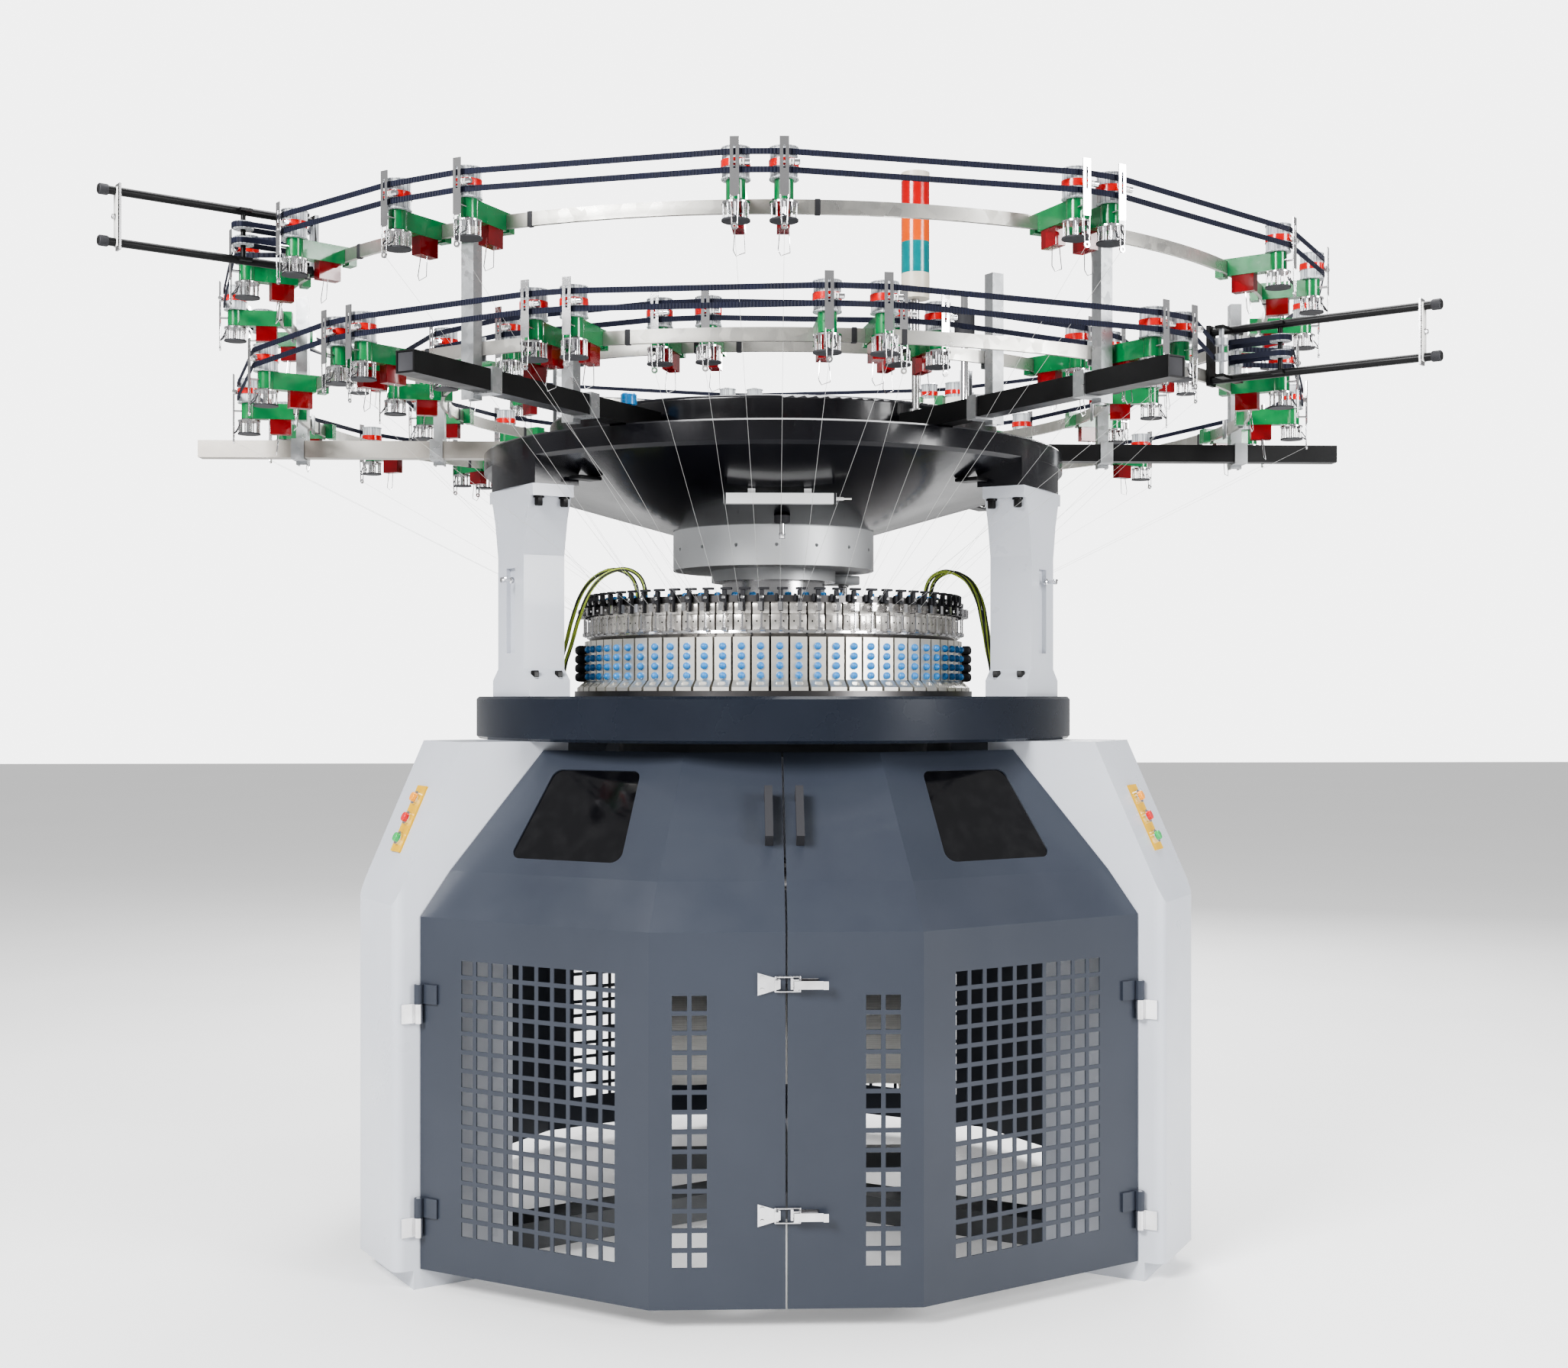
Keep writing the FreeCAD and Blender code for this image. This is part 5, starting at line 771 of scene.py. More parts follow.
    @classmethod
    def copies(cls, name: str, piece: bpy.types.Object, places: Iterable[Matrix]) -> bpy.types.Object:
        """One piece made of a copy of another at each place.

        Args:
            name: The new piece's name.
            piece: The piece that is copied, which is used up.
            places: The matrix of each copy.

        Returns:
            The new piece.
        """
        made = []
        for place in places:
            copy = bpy.data.objects.new(name, piece.data.copy())
            copy.data.transform(place)
            bpy.context.scene.collection.objects.link(copy)
            made.append(copy)
        bpy.data.objects.remove(piece)
        return cls.joined(name, made)

    @classmethod
    def fit(cls, piece: bpy.types.Object, slot: str, body: str = "frame") -> None:
        """Smooths a finished piece, seats it on its body and reports it."""
        cls.picked(piece)
        if piece.type == "MESH":
            bpy.ops.object.shade_smooth_by_angle(angle=math.radians(SMOOTH_ANGLE))
        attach(piece, body)
        LOG.info("%s rides on %s", piece.name, body)

    @classmethod
    def spread(cls, name: str, piece: bpy.types.Object, places: Iterable[Matrix], slot: str) -> None:
        """Copies a piece to each place and fits the copies to the frame as one piece."""
        cls.fit(cls.copies(name, piece, places), slot)

    @classmethod
    def bolt(cls, name: str, radius: float, height: float, finish: Finish) -> bpy.types.Object:
        """A hexagon head on a washer, standing up from z = 0."""
        foot = radius * 1.25
        washer = cls.lathe(name + "_washer", ((foot, 0.0), (foot, height * 0.2)), finish, 16)
        head = cls.lathe(name, ((radius, height * 0.2), (radius, height * 0.9), (radius * 0.86, height)),
                         finish, 6)
        return cls.joined(name, [head, washer])


# ---- the CAD nodes ----------------------------------------------------------------------
@dataclass(frozen=True)
class FeederRing:
    """One ring of yarn feeders.

    Attributes:
        radius: The bar's middle line.
        z: The bar's middle height.
        front: Azimuths of the feeders in front. The same stand behind.
    """

    radius: float
    z: float
    front: tuple[float, ...]

    def azimuths(self) -> list[float]:
        """The azimuths of all its feeders."""
        return list(self.front) + [math.copysign(180.0, a) - a for a in self.front]


UPPER_RING = FeederRing(1.136, 2.086, (-84.0, -61.5, -49.8, -35.1, -27.6, -4.7, -0.9, 23.9, 27.4, 52.2,
                                       64.9, 84.0))
MIDDLE_RING = FeederRing(1.100, 1.868, (-82.0, -61.2, -45.0, -41.4, -22.3, -18.6, 2.7, 7.5, 33.9, 37.6,
                                        58.4, 82.0))
INNER_RING = FeederRing(0.777, 1.910, (-77.0, -52.0, -38.2, -16.0, -9.8, 14.0, 19.4, 43.0, 51.0, 77.0))
RINGS = (UPPER_RING, MIDDLE_RING, INNER_RING)


def feeder_heights(middles: np.ndarray) -> np.ndarray:
    """Heights of points above the bar of the feeder ring that they belong to."""
    radii = np.hypot(middles[:, 0], middles[:, 1])
    inner_edge = (INNER_RING.radius + MIDDLE_RING.radius) / 2 + 0.05
    level = (UPPER_RING.z + MIDDLE_RING.z) / 2 + 0.02
    base = np.where(radii < inner_edge, INNER_RING.z,
                    np.where(middles[:, 2] > level, UPPER_RING.z, MIDDLE_RING.z))
    return middles[:, 2] - base


def azimuths_of(middles: np.ndarray) -> np.ndarray:
    """Azimuths of points, in degrees."""
    return np.degrees(np.arctan2(middles[:, 0], -middles[:, 1]))


class Wardrobe:
    """Gives every CAD node its finish."""

    PLAIN: dict[Finish, tuple[str, ...]] = {
        Finish.ENAMEL: ("legs", "columns"),
        Finish.IRON: ("base_frame", "drive_motor", "cylinder_gear", "takedown_frame", "drive_pinion"),
        Finish.BED: ("bed_plate",),
        Finish.DOME: ("upper_dome", "top_cover"),
        Finish.STEEL: ("dial_housing", "dial", "takedown_roller_front", "takedown_roller_rear"),
        Finish.LAMP: ("lamp_bar",),
        Finish.NEEDLES: ("needle_cylinder",),
        Finish.DARK_STEEL: ("cylinder_cam_ring", "dial_cam_ring"),
        Finish.IVORY: ("cylinder_cam_blocks",),
        Finish.KNOB: ("cylinder_cam_knobs",),
        Finish.DIAL_BLOCK: ("dial_cam_blocks",),
        Finish.BRIGHT: ("yarn_guides", "feeder_brackets", "latch_catches", "latch_bails",
                        "upper_latch_lever", "lower_latch_lever", "hinge_pin_halves"),
        Finish.ZINC: ("ring_posts", "post_straps"),
        Finish.RING_ZINC: ("feeder_rings",),
        Finish.BELT: ("feeder_belts",),
        Finish.DOOR: ("left_door", "rear_guards"),
        Finish.SMOKED: ("left_door_window", "right_door_window"),
        Finish.BLACK_PLASTIC: ("left_door_handle", "right_door_handle"),
        Finish.PULLEY: ("upper_tension_pulleys", "middle_tension_pulleys"),
        Finish.AMBER: ("left_amber_button", "right_amber_button"),
        Finish.RED: ("left_red_button", "right_red_button"),
        Finish.LIGHT_GREEN: ("left_green_button", "right_green_button"),
    }

    def __init__(self, nodes: dict[str, bpy.types.Object]) -> None:
        """Keeps the CAD nodes by name."""
        self.nodes = nodes

    def plain(self) -> None:
        """Dresses the nodes that have one finish."""
        for finish, names in self.PLAIN.items():
            for name in names:
                self._slots(name, (finish,))

    def _slots(self, name: str, finishes: Sequence[Finish]) -> bpy.types.Mesh:
        """Gives a node's mesh one slot for each finish."""
        mesh = self.nodes[name].data
        mesh.materials.clear()
        for finish in finishes:
            mesh.materials.append(finish.material())
        LOG.info("%s is dressed in %s", name, ", ".join(finish.value.name for finish in finishes))
        return mesh

    def sorted_faces(self, name: str, finishes: Sequence[Finish],
                     choose: Callable[[np.ndarray], np.ndarray]) -> None:
        """Dresses a node in several finishes by where its faces are.

        Args:
            name: The node.
            finishes: Its finishes.
            choose: Turns the faces' middles into the number of each one's finish.
        """
        mesh = self._slots(name, finishes)
        middles = np.zeros(len(mesh.polygons) * 3)
        mesh.polygons.foreach_get("center", middles)
        chosen = choose(middles.reshape(-1, 3)).astype(np.int32)
        mesh.polygons.foreach_set("material_index", chosen)

    @staticmethod
    def _rotor_parts(middles: np.ndarray) -> np.ndarray:
        """Pulleys 0, clutch 1, pin wheel 2 and the dark bottom disc 3."""
        height = feeder_heights(middles)
        parts = np.where(height > 0.0375, np.where(height < 0.0495, 1, 0), 0)
        parts = np.where(height < 0.0172, 2, parts)
        return np.where(height < -0.0505, 3, parts)

    def mixed(self) -> None:
        """Dresses the nodes that have several finishes."""
        rotor = (Finish.PULLEY, Finish.RED_DISC, Finish.BRIGHT, Finish.BLACK_PLASTIC)
        for name in ("feeder_rotors", "upper_feeder_rotor", "middle_feeder_rotor", "inner_feeder_rotor"):
            self.sorted_faces(name, rotor, self._rotor_parts)
        self.sorted_faces("feeder_housings", (Finish.GREEN, Finish.STOP_BOX),
                          lambda m: feeder_heights(m) < -0.0181)
        self.sorted_faces("support_arms", (Finish.BLACK_PAINT, Finish.WARM_STEEL),
                          lambda m: np.abs(azimuths_of(m) + 90.0) < 20.0)
        self.sorted_faces("hub_discs", (Finish.HUB, Finish.STEEL), lambda m: m[:, 2] < 1.4921)
        self.sorted_faces("right_door", (Finish.DOOR, Finish.BRIGHT), self._latch_base)
        self.sorted_faces("tensioner_frames", (Finish.BLACK_PAINT, Finish.PULLEY, Finish.STEEL),
                          self._tensioner_parts)
        self.sorted_faces("button_plates", (Finish.YELLOW, Finish.BRIGHT), self._bezel)
        tower = (Finish.STEEL, Finish.BEIGE, Finish.TEAL_LENS, Finish.ORANGE_LENS, Finish.RED_LENS,
                 Finish.BEIGE)
        edges = np.cumsum([2.063, 0.053, 0.066, 0.074, 0.055]) - 0.00001
        self.sorted_faces("signal_tower", tower, lambda m: np.searchsorted(edges, m[:, 2]))

    @staticmethod
    def _latch_base(middles: np.ndarray) -> np.ndarray:
        """1 on the latch bases, which stand on the door's front."""
        near = np.zeros(len(middles), bool)
        for z in (0.223, 0.668):
            near |= np.abs(middles[:, 2] - z) < 0.0125
        return near & (middles[:, 0] < 0.0625) & (middles[:, 0] > 0.0075) & (middles[:, 1] < -0.8401)

    @staticmethod
    def _tensioner_parts(middles: np.ndarray) -> np.ndarray:
        """Rods and brackets 0, idler pulleys 1 and the end plate 2."""
        height = feeder_heights(middles)
        radii = np.hypot(middles[:, 0], middles[:, 1])
        pulley = (height > 0.0215) & (height < 0.0675) & (radii < 1.24) & (radii > 1.125)
        plate = (radii > 1.527) & (radii < 1.535)
        return np.where(plate, 2, np.where(pulley, 1, 0))

    @staticmethod
    def _bezel(middles: np.ndarray) -> np.ndarray:
        """1 on the bezels, which stand on the plate's face."""
        turn = np.radians(60.0)
        lean = math.atan2(0.982 - 0.832, 1.126 - 0.792)
        outwards = np.abs(middles[:, 0]) * math.sin(turn) - middles[:, 1] * math.cos(turn)
        face = (outwards - 0.982) * math.cos(lean) + (middles[:, 2] - 0.792) * math.sin(lean)
        return face > 0.0042


# ---- sub-assemblies ---------------------------------------------------------------------
@dataclass
class Columns:
    """Bolts and small fittings of the three columns."""

    radius: float = 0.627
    foot_top: float = 1.257
    head_bottom: float = 1.652
    bolt_radius: float = 0.0095
    fitting_z: float = 1.475

    def build(self) -> None:
        """Makes the bolts and the fittings."""
        places = []
        for azimuth in LEG_AZIMUTHS:
            for sideways in (-0.083, 0.083):
                for step in (-0.028, 0.028):
                    places.append(station(azimuth, self.radius + step, self.foot_top, sideways))
            for sideways in (-0.1065, 0.1065):
                for step in (-0.030, 0.030):
                    places.append(station(azimuth, self.radius + step, self.head_bottom, sideways)
                                  @ Matrix.Rotation(math.pi, 4, "X"))
        bolt = Bench.bolt("column_bolt", self.bolt_radius, 0.021, Finish.BLACK_PAINT)
        Bench.spread("column_bolts", bolt, places, "steel")
        stem = Bench.lathe("fitting_stem", ((0.007, 0.0), (0.007, 0.006), (0.0045, 0.008), (0.0045, 0.02),
                                            (0.006, 0.022), (0.006, 0.028)), Finish.BRIGHT, 16)
        wing = Bench.slab("fitting_wing", (0.02, 0.004, 0.006), (0.004, 0.004, 0.024), Finish.BRIGHT)
        fitting = Bench.joined("fitting", [stem, wing])
        Bench.spread("column_fittings", fitting,
                     [station(a, self.radius + 0.048, self.fitting_z, 0.012) @ OUTWARDS
                      for a in LEG_AZIMUTHS], "bright")


@dataclass
class KnittingHead:
    """What surrounds the needle cylinder: rings, block tiers, carriers, knobs and the dial adjuster."""

    verge_bottom: float = 1.350
    verge_top: float = 1.3655
    verge_radius: float = 0.442
    bore: float = 0.388
    tier_radius: float = 0.4335
    tier_top: float = 1.3985
    ring_top: float = 1.440
    carrier_share: float = 0.06
    knob_heights: tuple[float, ...] = (1.267, 1.288, 1.309, 1.330)

    def _places(self, radius: float, z: float, share: float = 0.0) -> list[Matrix]:
        """A place for each dial block, share of a pitch beside its middle."""
        return [station(360.0 * (step + share) / BLOCK_COUNT, radius, z) for step in range(BLOCK_COUNT)]

    def rings(self) -> None:
        """Makes the dark and the bright ring between the cam blocks and the dial blocks."""
        middle = self.verge_bottom + 0.0072
        dark = Bench.hoop("dark_verge_ring", ((self.verge_radius - 0.008, self.verge_bottom),
                                              (self.verge_radius - 0.005, middle),
                                              (self.bore, middle), (self.bore, self.verge_bottom)),
                          Finish.DARK_STEEL, 136)
        Bench.fit(dark, "steel")
        bright = Bench.hoop("bright_verge_ring", ((self.verge_radius - 0.001, middle),
                                                  (self.verge_radius, middle + 0.0015),
                                                  (self.verge_radius - 0.001, self.verge_top - 0.0015),
                                                  (self.verge_radius - 0.006, self.verge_top),
                                                  (self.bore, self.verge_top), (self.bore, middle)),
                            Finish.BRIGHT, 136)
        Bench.fit(bright, "bright")

    def tiers(self) -> None:
        """Makes the lower tier of the dial blocks, which stands proud."""
        width = math.tau * self.tier_radius / BLOCK_COUNT - 0.0034
        height = self.tier_top - self.verge_top
        tier = Bench.slab("tier", (width, 0.012, height), (0, 0.006, height / 2), Finish.DIAL_BLOCK, 0.001, 2)
        Bench.spread("dial_block_tiers", tier, self._places(self.tier_radius, self.verge_top), "steel")
        cap = Bench.slab("cap", (width, 0.016, 0.0215), (0, 0.008, 0.01075), Finish.DIAL_BLOCK, 0.0012, 2)
        places = self._places(self.tier_radius - 0.002, self.tier_top + 0.0025)
        Bench.spread("dial_block_caps", cap, places, "steel")

    def carriers(self) -> None:
        """Makes the black levers, their bright forks and the blue adjusting heads."""
        post = Bench.slab("post", (0.009, 0.010, 0.046), (0, 0.005, 0.023), Finish.BLACK_PLASTIC)
        arm = Bench.slab("arm", (0.024, 0.012, 0.005), (0.004, 0.006, 0.049), Finish.BLACK_PLASTIC)
        hook = Bench.slab("hook", (0.006, 0.010, 0.016), (-0.009, 0.010, 0.030), Finish.BLACK_PLASTIC)
        pin = Bench.lathe("pin", ((0.0045, 0.0), (0.0045, 0.004), (0.003, 0.005)), Finish.STEEL, 10)
        pin.data.transform(Matrix.Translation((0, 0, 0.03)) @ OUTWARDS)
        lever = Bench.joined("lever", [post, arm, hook, pin])
        radius = self.tier_radius + 0.012
        Bench.spread("carrier_levers", lever, self._places(radius, 1.405, self.carrier_share),
                     "black_plastic")
        leg = Bench.slab("leg", (0.0045, 0.003, 0.036), (0, 0.0015, -0.018), Finish.BRIGHT)
        foot = Bench.slab("foot", (0.012, 0.006, 0.007), (0.002, 0.001, -0.036), Finish.BRIGHT)
        fork = Bench.joined("fork", [leg, foot])
        Bench.spread("carrier_forks", fork, self._places(radius + 0.004, 1.402, self.carrier_share),
                     "bright")
        head = Bench.lathe("head", ((0.0075, 0.0), (0.0075, 0.004), (0.006, 0.0065), (0.003, 0.0075)),
                           Finish.KNOB, 16)
        Bench.spread("dial_adjusting_heads", head, self._places(0.417, self.ring_top, 0.5), "blue_knob")

    def side_adjusters(self) -> None:
        """Makes the large black knobs at the head's two sides."""
        knob = Bench.lathe("knob", ((0.0105, 0.0), (0.013, 0.004), (0.0135, 0.019), (0.012, 0.025),
                                    (0.008, 0.0285), (0.003, 0.030)), Finish.BLACK_PLASTIC, 20)
        places = []
        for side in (-1, 1):
            for step in (15, 16, 17, 18, 19):
                azimuth = side * 360.0 * step / BLOCK_COUNT
                for z in self.knob_heights:
                    places.append(station(azimuth, 0.446, z) @ OUTWARDS @ Matrix.Scale(0.78, 4))
        Bench.spread("side_adjusting_knobs", knob, places, "black_plastic")

    def adjuster(self) -> None:
        """Makes the dial's height adjuster, behind the housing on the right."""
        plate = Bench.slab("plate", (0.075, 0.085, 0.022), (0, 0, 0), Finish.HUB, 0.003, 2)
        plate.data.transform(station(118.0, 0.178, 1.503))
        pillar = Bench.lathe("pillar", ((0.016, 1.440), (0.016, 1.452), (0.009, 1.455), (0.009, 1.486),
                                        (0.013, 1.488), (0.013, 1.493)), Finish.STEEL, 20)
        pillar.data.transform(station(118.0, 0.196))
        cap = Bench.lathe("cap", ((0.078, 1.440), (0.078, 1.452), (0.070, 1.457)), Finish.BLACK_PAINT, 36)
        cap.data.transform(station(-60.0, 0.190))
        Bench.fit(Bench.joined("dial_adjuster", [plate, pillar, cap]), "steel")

    def build(self) -> None:
        """Makes all of it."""
        self.rings()
        self.tiers()
        self.carriers()
        self.side_adjusters()
        self.adjuster()


@dataclass
class Dome:
    """Small parts on and under the dome."""

    top: float = 1.856

    def build(self) -> None:
        """Makes the lamp's ends, the sensor, the tabs, the cap and the belt drive's post."""
        ends = [Bench.slab("lamp_end", (0.006, 0.024, 0.024), (side * 0.1175, 0, 0), Finish.BLACK_PLASTIC,
                           0.002, 2) for side in (-1, 1)]
        nib = Bench.lathe("lamp_nib", ((0.004, 0.0), (0.004, 0.016), (0.0022, 0.018), (0.0022, 0.034)),
                          Finish.WHITE, 12)
        nib.data.transform(Matrix.Translation((0.1195, 0, 0)) @ ACROSS)
        lamp = Bench.joined("lamp_ends", [*ends, nib])
        low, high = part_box("lamp_bar")
        lamp.data.transform(Matrix.Translation((0, (low.y + high.y) / 2, low.z + 0.011)))
        Bench.fit(lamp, "black_plastic")
        sensor = Bench.joined("dome_sensor", [
            Bench.lathe("sensor_cap", ((0.016, 1.606), (0.018, 1.610), (0.018, 1.6235)),
                        Finish.BLACK_PLASTIC),
            Bench.lathe("sensor_body", ((0.0065, 1.572), (0.0075, 1.5735), (0.0075, 1.584), (0.006, 1.585),
                                        (0.006, 1.607)), Finish.BRIGHT)])
        sensor.data.transform(station(2.0, 0.296))
        Bench.fit(sensor, "black_plastic")
        tab = Bench.slab("tab", (0.040, 0.060, 0.008), (0, 0, 0), Finish.BLACK_PAINT, 0.002, 2)
        places = [station(a + side * 14.0, 0.58, 1.692) for a in LEG_AZIMUTHS for side in (-1, 1)]
        Bench.spread("dome_tabs", tab, places, "black_paint")
        cap = Bench.lathe("blue_cap", ((0.014, 1.823), (0.014, 1.826), (0.017, 1.827), (0.017, 1.848),
                                       (0.014, 1.851)), Finish.BLUE_CAP, 20)
        cap.data.transform(station(-30.0, 0.634))
        Bench.fit(cap, "blue_knob")
        pole = Bench.lathe("pole", ((0.022, self.top), (0.022, self.top + 0.012), (0.009, self.top + 0.016),
                                    (0.009, 2.20), (0.007, 2.203)), Finish.BRIGHT, 24)
        hub = Bench.lathe("hub", ((0.020, 1.895), (0.020, 1.925), (0.026, 1.928), (0.026, 1.933)),
                          Finish.BLACK_PAINT, 24)
        wheel = Bench.lathe("wheel", ((0.030, 2.10), (0.030, 2.103), (0.025, 2.104), (0.025, 2.158),
                                      (0.030, 2.159), (0.030, 2.162)), Finish.BLACK_PLASTIC, 30)
        post = Bench.joined("belt_drive_post", [pole, hub, wheel])
        post.data.transform(Matrix.Translation((0.47, 0.10, 0)))
        Bench.fit(post, "steel")


@dataclass
class Arms:
    """End plugs of the arms, and the clamp plates that hold the rings to their posts."""

    end: float = 1.350
    z: float = 1.803
    inside: float = 0.034
    post_middle: float = 0.0345

    def plugs(self) -> None:
        """Makes the square plug in each arm's outer end."""
        plug = Bench.slab("plug", (self.inside, 0.012, self.inside), (0, 0.0075, 0), Finish.BLACK_PLASTIC)
        Bench.pressed(plug, lambda middle, normal: normal.y < -0.9, 0.003, -0.0012)
        Bench.spread("arm_end_plugs", plug, [station(a, self.end, self.z) for a in ARM_AZIMUTHS],
                     "black_plastic")

    def clamps(self) -> None:
        """Makes a bolted plate wherever a ring meets a post."""
        places = []
        for azimuth in ARM_AZIMUTHS:
            side = 1 if azimuth > 0 else -1
            side = side if abs(azimuth) <= 90 else -side
            sideways = side * self.post_middle
            for ring, step in ((UPPER_RING, 0.0043), (MIDDLE_RING, -0.0073), (INNER_RING, -0.0073)):
                radius = math.sqrt(ring.radius ** 2 - self.post_middle ** 2) + step
                places.append(station(azimuth, radius, ring.z, sideways))
        plate = Bench.slab("plate", (0.030, 0.003, 0.046), (0, -0.0015, 0), Finish.ZINC, 0.001, 2)
        bolt = Bench.bolt("clamp_bolt", 0.005, 0.006, Finish.STEEL)
        bolt.data.transform(Matrix.Translation((0, -0.003, 0.0135)) @ OUTWARDS)
        Bench.spread("ring_clamp_plates", Bench.joined("clamp", [plate, bolt]), places, "steel")

    def build(self) -> None:
        """Makes all of it."""
        self.plugs()
        self.clamps()


@dataclass
class FeederTrim:
    """The small parts of each yarn feeder."""

    sheet: float = 0.140
    shaft: float = 0.1342
    shaft_z: float = 0.041
    shaft_start: float = 0.0105
    eye: float = -0.069
    clip_turn: float = 3.1

    @staticmethod
    def _places(out: float, up: float, turn: float = 0.0) -> list[Matrix]:
        """A place at each feeder, out from its bar, up from it and turned beside it."""
        return [station(azimuth + turn, ring.radius + out, ring.z + up)
                for ring in RINGS for azimuth in ring.azimuths()]

    def build(self) -> None:
        """Makes the eyelets, tension discs, knobs and wire loops."""
        Bench.fresh()
        bpy.ops.mesh.primitive_torus_add(major_radius=0.0038, minor_radius=0.0015, major_segments=14,
                                         minor_segments=6, rotation=(math.radians(90), 0, 0))
        eyelet = Bench.settle("eyelet", Finish.WHITE)
        Bench.spread("guide_eyelets", eyelet, self._places(self.sheet - 0.001, self.eye), "yarn_white")
        knob = Bench.lathe("knob", ((0.0025, -0.0145), (0.0025, 0.001), (0.0055, 0.0015), (0.0055, 0.003),
                                    (0.003, 0.004), (0.003, 0.006), (0.0055, 0.007), (0.0055, 0.015),
                                    (0.004, 0.0165)), Finish.BRIGHT, 14)
        discs = Bench.lathe("discs", ((0.0057, -0.002), (0.0057, 0.0008), (0.003, 0.0012), (0.003, 0.003),
                                      (0.0057, 0.0035), (0.0057, 0.0055)), Finish.WHITE, 16)
        for name, piece, slot in (("tension_knobs", knob, "bright"), ("tension_discs", discs, "yarn_white")):
            piece.data.transform(Matrix.Translation((self.shaft_start, 0, 0)) @ ACROSS)
            Bench.spread(name, piece, self._places(self.shaft, self.shaft_z), slot)
        loop = Bench.wire("loop", ((0.010, 0, 0), (0.012, -0.004, -0.040), (-0.004, -0.006, -0.046),
                                   (-0.009, -0.004, -0.036), (-0.006, 0, 0)), 0.0009, Finish.BRIGHT)
        Bench.spread("stop_wires", loop, self._places(0.040, -0.0515), "bright")
        lever = Bench.wire("lever", ((0.009, 0, 0.002), (0.013, -0.012, -0.026), (0.004, -0.020, -0.034),
                                     (-0.008, -0.016, -0.028), (-0.004, -0.008, -0.016)), 0.0013,
                           Finish.BLACK_PLASTIC)
        Bench.spread("yarn_levers", lever, self._places(0.118, -0.018), "black_plastic")
        clip = Bench.slab("clip", (0.010, 0.0105, 0.028), (0, 0, 0), Finish.BLACK_PLASTIC, 0.001)
        Bench.spread("ring_clips", clip, self._places(0.0, 0.0, self.clip_turn), "black_plastic")


@dataclass
class Tensioners:
    """Caps, slotted plates and screws of the two belt tensioners."""

    end: float = 1.569
    plate_radius: float = 1.5355
    rods: tuple[float, float] = (-0.008, 0.089)

    def build(self) -> None:
        """Makes the rod caps, the white plates and the clamp screws."""
        places = [(-55.6, UPPER_RING), (51.2, MIDDLE_RING)]
        cap = Bench.lathe("rod_cap", ((0.0095, 0.0), (0.0105, 0.002), (0.0105, 0.016), (0.009, 0.0175)),
                          Finish.BLACK_PLASTIC, 20)
        cap.data.transform(OUTWARDS)
        spots = [station(azimuth, self.end - 0.0185, ring.z + up) for azimuth, ring in places
                 for up in self.rods]
        Bench.spread("rod_caps", cap, spots, "black_plastic")
        plate = Bench.slab("plate", (0.020, 0.003, 0.112), (0, 0, 0.040), Finish.WHITE, 0.001, 2)
        screw = Bench.bolt("screw", 0.005, 0.006, Finish.STEEL)
        screw.data.transform(Matrix.Translation((0, -0.0015, 0.04)) @ OUTWARDS)
        unit = Bench.joined("unit", [plate, screw])
        spots = [station(azimuth, self.plate_radius, ring.z) for azimuth, ring in places]
        Bench.spread("tensioner_plates", unit, spots, "lamp_white")


@dataclass
class Harness:
    """The four bundles of wires from the dial's ring to the bed."""

    azimuths: tuple[tuple[float, float], ...] = ((-46.0, -66.0), (-50.0, -70.0), (56.0, 70.0), (60.0, 74.0))
    diameter: float = 0.010
    wire_radius: float = 0.0017
    strands: int = 5
    black: tuple[int, ...] = (0, 3)
    twist: float = 0.11
    route: tuple[tuple[float, float], ...] = ((0.406, 1.440), (0.406, 1.480), (0.442, 1.510), (0.488, 1.492),
                                              (0.510, 1.446), (0.516, 1.390), (0.520, 1.332), (0.528, 1.276),
                                              (0.528, 1.222))

    @staticmethod
    def centre_line(points: Sequence[Vector]) -> list[Vector]:
        """Points along the smooth line that a route makes."""
        line = Bench.line("line", points, 0.0, True)
        line.data.splines[0].resolution_u = 8
        mesh = bpy.data.meshes.new_from_object(line)
        found = [vertex.co.copy() for vertex in mesh.vertices]
        bpy.data.objects.remove(line)
        bpy.data.meshes.remove(mesh)
        return found

    def bundle(self, start: float, end: float, number: int) -> None:
        """Makes one bundle.

        Args:
            start: Its azimuth at the dial's ring.
            end: Its azimuth at the bed.
            number: Its number in the piece's name.
        """
        last = len(self.route) - 3
        turns = [start + (end - start) * min(max(step - 1, 0), last) / last
                 for step in range(len(self.route))]
        centre = self.centre_line([polar(radius, azimuth, z)
                                   for (radius, z), azimuth in zip(self.route, turns)])
        sideways = polar(1.0, (start + end) / 2 + 90.0, 0.0)
        wires = []
        for index in range(self.strands):
            points = []
            for step, point in enumerate(centre):
                ahead = centre[min(step + 1, len(centre) - 1)] - centre[max(step - 1, 0)]
                across = ahead.normalized().cross(sideways)
                turn = math.tau * index / self.strands + step * self.twist
                reach = self.diameter / 2 - self.wire_radius
                points.append(point + sideways * (reach * math.cos(turn)) + across * (reach * math.sin(turn)))
            finish = Finish.BLACK_PLASTIC if index in self.black else Finish.WIRE_LIME
            wires.append(Bench.wire(f"strand_{index}", points, self.wire_radius, finish, sides=2))
        bundle = Bench.joined(f"wire_bundle_{number}", wires)
        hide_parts("cable_harness")
        Bench.fit(bundle, "black_plastic")

    def build(self) -> None:
        """Makes the bundles."""
        for number, (start, end) in enumerate(self.azimuths, 1):
            self.bundle(start, end, number)


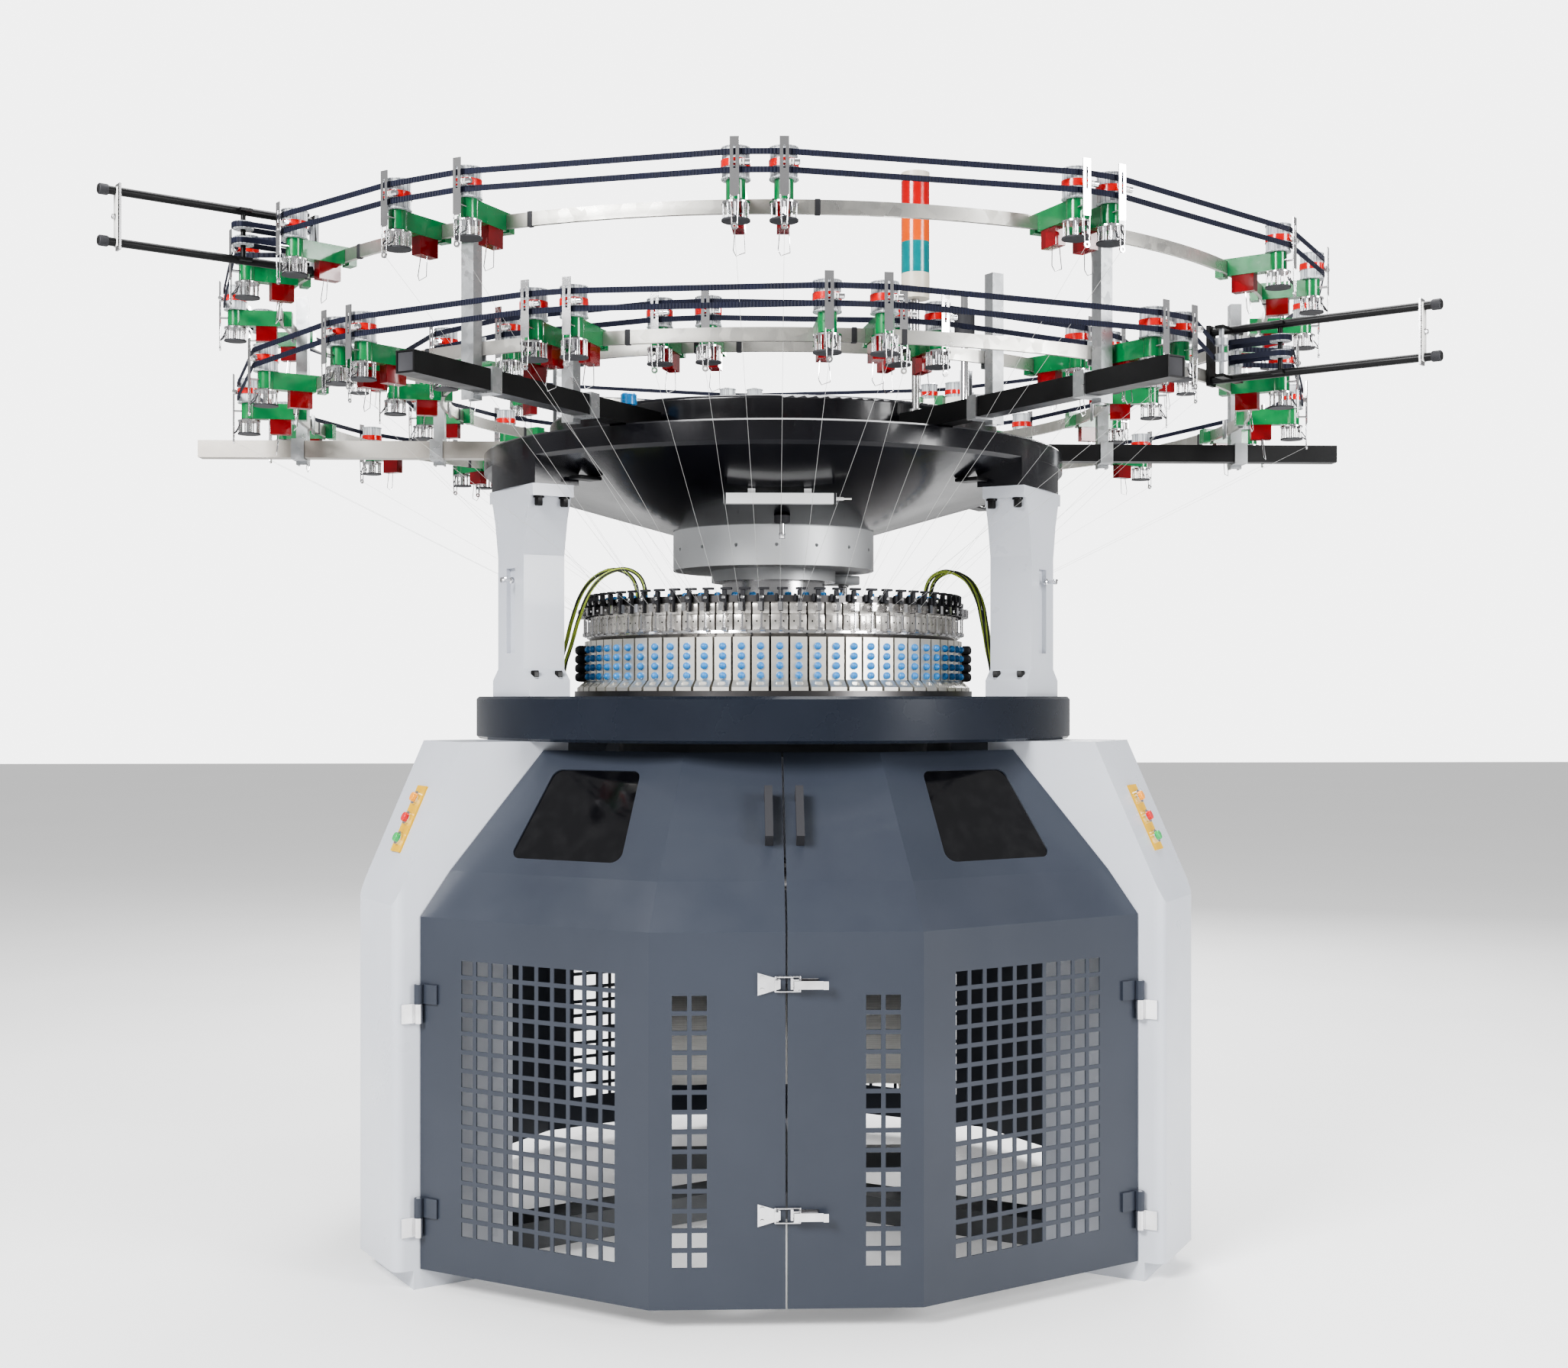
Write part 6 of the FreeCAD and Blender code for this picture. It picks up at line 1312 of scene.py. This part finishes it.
@dataclass
class Yarns:
    """The running yarns, each tight between a feeder's eye and its carrier."""

    diameter: float = 0.0006
    sag: float = 0.002
    declared: int = 32

    @staticmethod
    def ends() -> list[tuple[Vector, Vector]]:
        """The upper and lower end of each yarn of the CAD node."""
        mesh = frame["nodes"]["yarns"].data
        points = np.zeros(len(mesh.vertices) * 3)
        mesh.vertices.foreach_get("co", points)
        points = np.unique(np.round(points.reshape(-1, 3), 6), axis=0)
        tops = Yarns._middles(points[points[:, 2] >= BETWEEN_ENDS])
        bottoms = Yarns._middles(points[points[:, 2] < BETWEEN_ENDS])
        turns = azimuths_of(bottoms)
        nearest = [np.abs(turn - turns).argmin() for turn in azimuths_of(tops)]
        return [(Vector(top), Vector(bottoms[index])) for top, index in zip(tops, nearest)]

    @staticmethod
    def _middles(points: np.ndarray) -> np.ndarray:
        """The middle of each group of points that lie together round one end."""
        left = list(range(len(points)))
        middles = []
        while left:
            near = [i for i in left if np.linalg.norm(points[i] - points[left[0]]) < END_SPREAD]
            middles.append(points[near].mean(axis=0))
            left = [i for i in left if i not in near]
        return np.array(middles)

    def build(self) -> None:
        pairs = sorted(self.ends(), key=lambda pair: -round((pair[0] - pair[1]).length, 4))
        for number, (top, bottom) in enumerate(pairs, 1):
            middle = (top + bottom) / 2 - Vector((0, 0, self.sag))
            yarn = Bench.line(f"yarn_{number:02d}", [top, middle, bottom], self.diameter / 2, True)
            yarn.data.materials.append(Finish.YARN.material())
            bpy.context.scene.collection.objects.link(yarn)
            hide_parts("yarns")
            Bench.fit(yarn, "yarn_white")


@dataclass
class ClothRoll:
    """The roll of finished cloth with its bar."""

    radius: float = 0.119
    bar_radius: float = 0.015
    bar_out: float = 0.03
    rims: int = 12

    def build(self) -> None:
        """Makes the roll."""
        low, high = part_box("fabric_roll")
        size = high - low
        half = max(size.x, size.y) / 2
        end = half - self.bar_out
        step = (2 * end - 0.012) / self.rims
        rows = [(self.radius - 0.004, -end), (self.radius, -end + 0.006)]
        rows += [(self.radius - 0.0015 * (index % 2), -end + 0.006 + step * index)
                 for index in range(1, self.rims + 1)]
        cloth = Bench.lathe("cloth", [*rows, (self.radius - 0.004, end)], Finish.CLOTH, 64)
        for border in (0.02, 0.03, 0.03):
            Bench.pressed(cloth, lambda middle, normal: abs(normal.z) > 0.99 and abs(middle.z) > end - 0.01,
                          border, 0.0015)
        bar = Bench.lathe("bar", ((self.bar_radius, -half), (self.bar_radius, half)), Finish.STEEL, 24)
        roll = Bench.joined("cloth_roll", [cloth, bar])
        roll.data.transform(Matrix.Translation((low + high) / 2)
                            @ Matrix.Rotation(math.radians(90), 4, "Y" if size.x > size.y else "X"))
        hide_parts("fabric_roll")
        Bench.fit(roll, "fabric", "fabric_roll")


@dataclass
class Studio:
    """Floor, lights and camera."""

    camera_place: tuple[float, float, float] = (-0.133, -4.398, 1.220)
    camera_turn: float = -2.06
    lens: float = 42.45
    shift_y: float = 0.0085
    ambient: float = 0.42
    backdrop: float = 3.0

    def floor(self) -> None:
        """Makes the pale floor."""
        Bench.fresh()
        bpy.ops.mesh.primitive_plane_add(size=60)
        finish = Coating("pale_floor", rgb(0.84, 0.84, 0.84), rgb(0.80, 0.80, 0.80), (0.5, 0.6), 0.6, 60.0,
                         0.0002, glow=0.3)
        floor = bpy.context.object
        floor.name = "floor"
        floor.data.materials.append(finish.build())

    @staticmethod
    def light(name: str, place: Sequence[float], size: float, power: float, target: Sequence[float]) -> None:
        """Makes a soft square light that faces a target."""
        data = bpy.data.lights.new(name, "AREA")
        data.size = size
        data.energy = power
        lamp = bpy.data.objects.new(name, data)
        lamp.location = place
        lamp.rotation_euler = (Vector(target) - Vector(place)).to_track_quat("-Z", "Y").to_euler()
        bpy.context.scene.collection.objects.link(lamp)

    def build(self) -> None:
        """Makes the studio."""
        self.floor()
        world = bpy.data.worlds.new("studio")
        world.use_nodes = True
        background = world.node_tree.nodes["Background"]
        background.inputs[0].default_value = rgb(1.0, 1.0, 1.0)
        rays = world.node_tree.nodes.new("ShaderNodeLightPath")
        level = world.node_tree.nodes.new("ShaderNodeMapRange")
        level.inputs["To Min"].default_value = self.ambient
        level.inputs["To Max"].default_value = self.backdrop
        world.node_tree.links.new(rays.outputs["Is Camera Ray"], level.inputs["Value"])
        world.node_tree.links.new(level.outputs["Result"], background.inputs[1])
        bpy.context.scene.world = world
        self.light("key", (-3.2, -4.6, 4.4), 2.2, 620.0, (0, 0, 1.2))
        self.light("fill", (4.2, -3.6, 2.6), 1.8, 230.0, (0, 0, 1.2))
        self.light("top", (0.4, 0.6, 5.4), 2.6, 300.0, (0, 0, 1.2))
        self.light("back", (1.5, 4.8, 3.8), 2.2, 240.0, (0, 0, 1.4))
        data = bpy.data.cameras.new("camera")
        data.lens = self.lens
        data.sensor_width = 36.0
        data.shift_y = self.shift_y
        camera = bpy.data.objects.new("camera", data)
        camera.location = self.camera_place
        camera.rotation_euler = (math.radians(90.0), 0.0, math.radians(self.camera_turn))
        bpy.context.scene.collection.objects.link(camera)
        bpy.context.scene.camera = camera
        bpy.context.scene.view_settings.look = "AgX - Medium High Contrast"


def main() -> None:
    """Builds the looks in order, and reports each piece."""
    logging.basicConfig(level=logging.INFO, format="%(name)s: %(message)s")
    Studio().build()
    wardrobe = Wardrobe(frame["nodes"])
    wardrobe.plain()
    wardrobe.mixed()
    for assembly in (Harness, Yarns, Columns, KnittingHead, Dome, Arms, FeederTrim, Tensioners, ClothRoll):
        assembly().build()


if __name__ == "__main__":
    main()
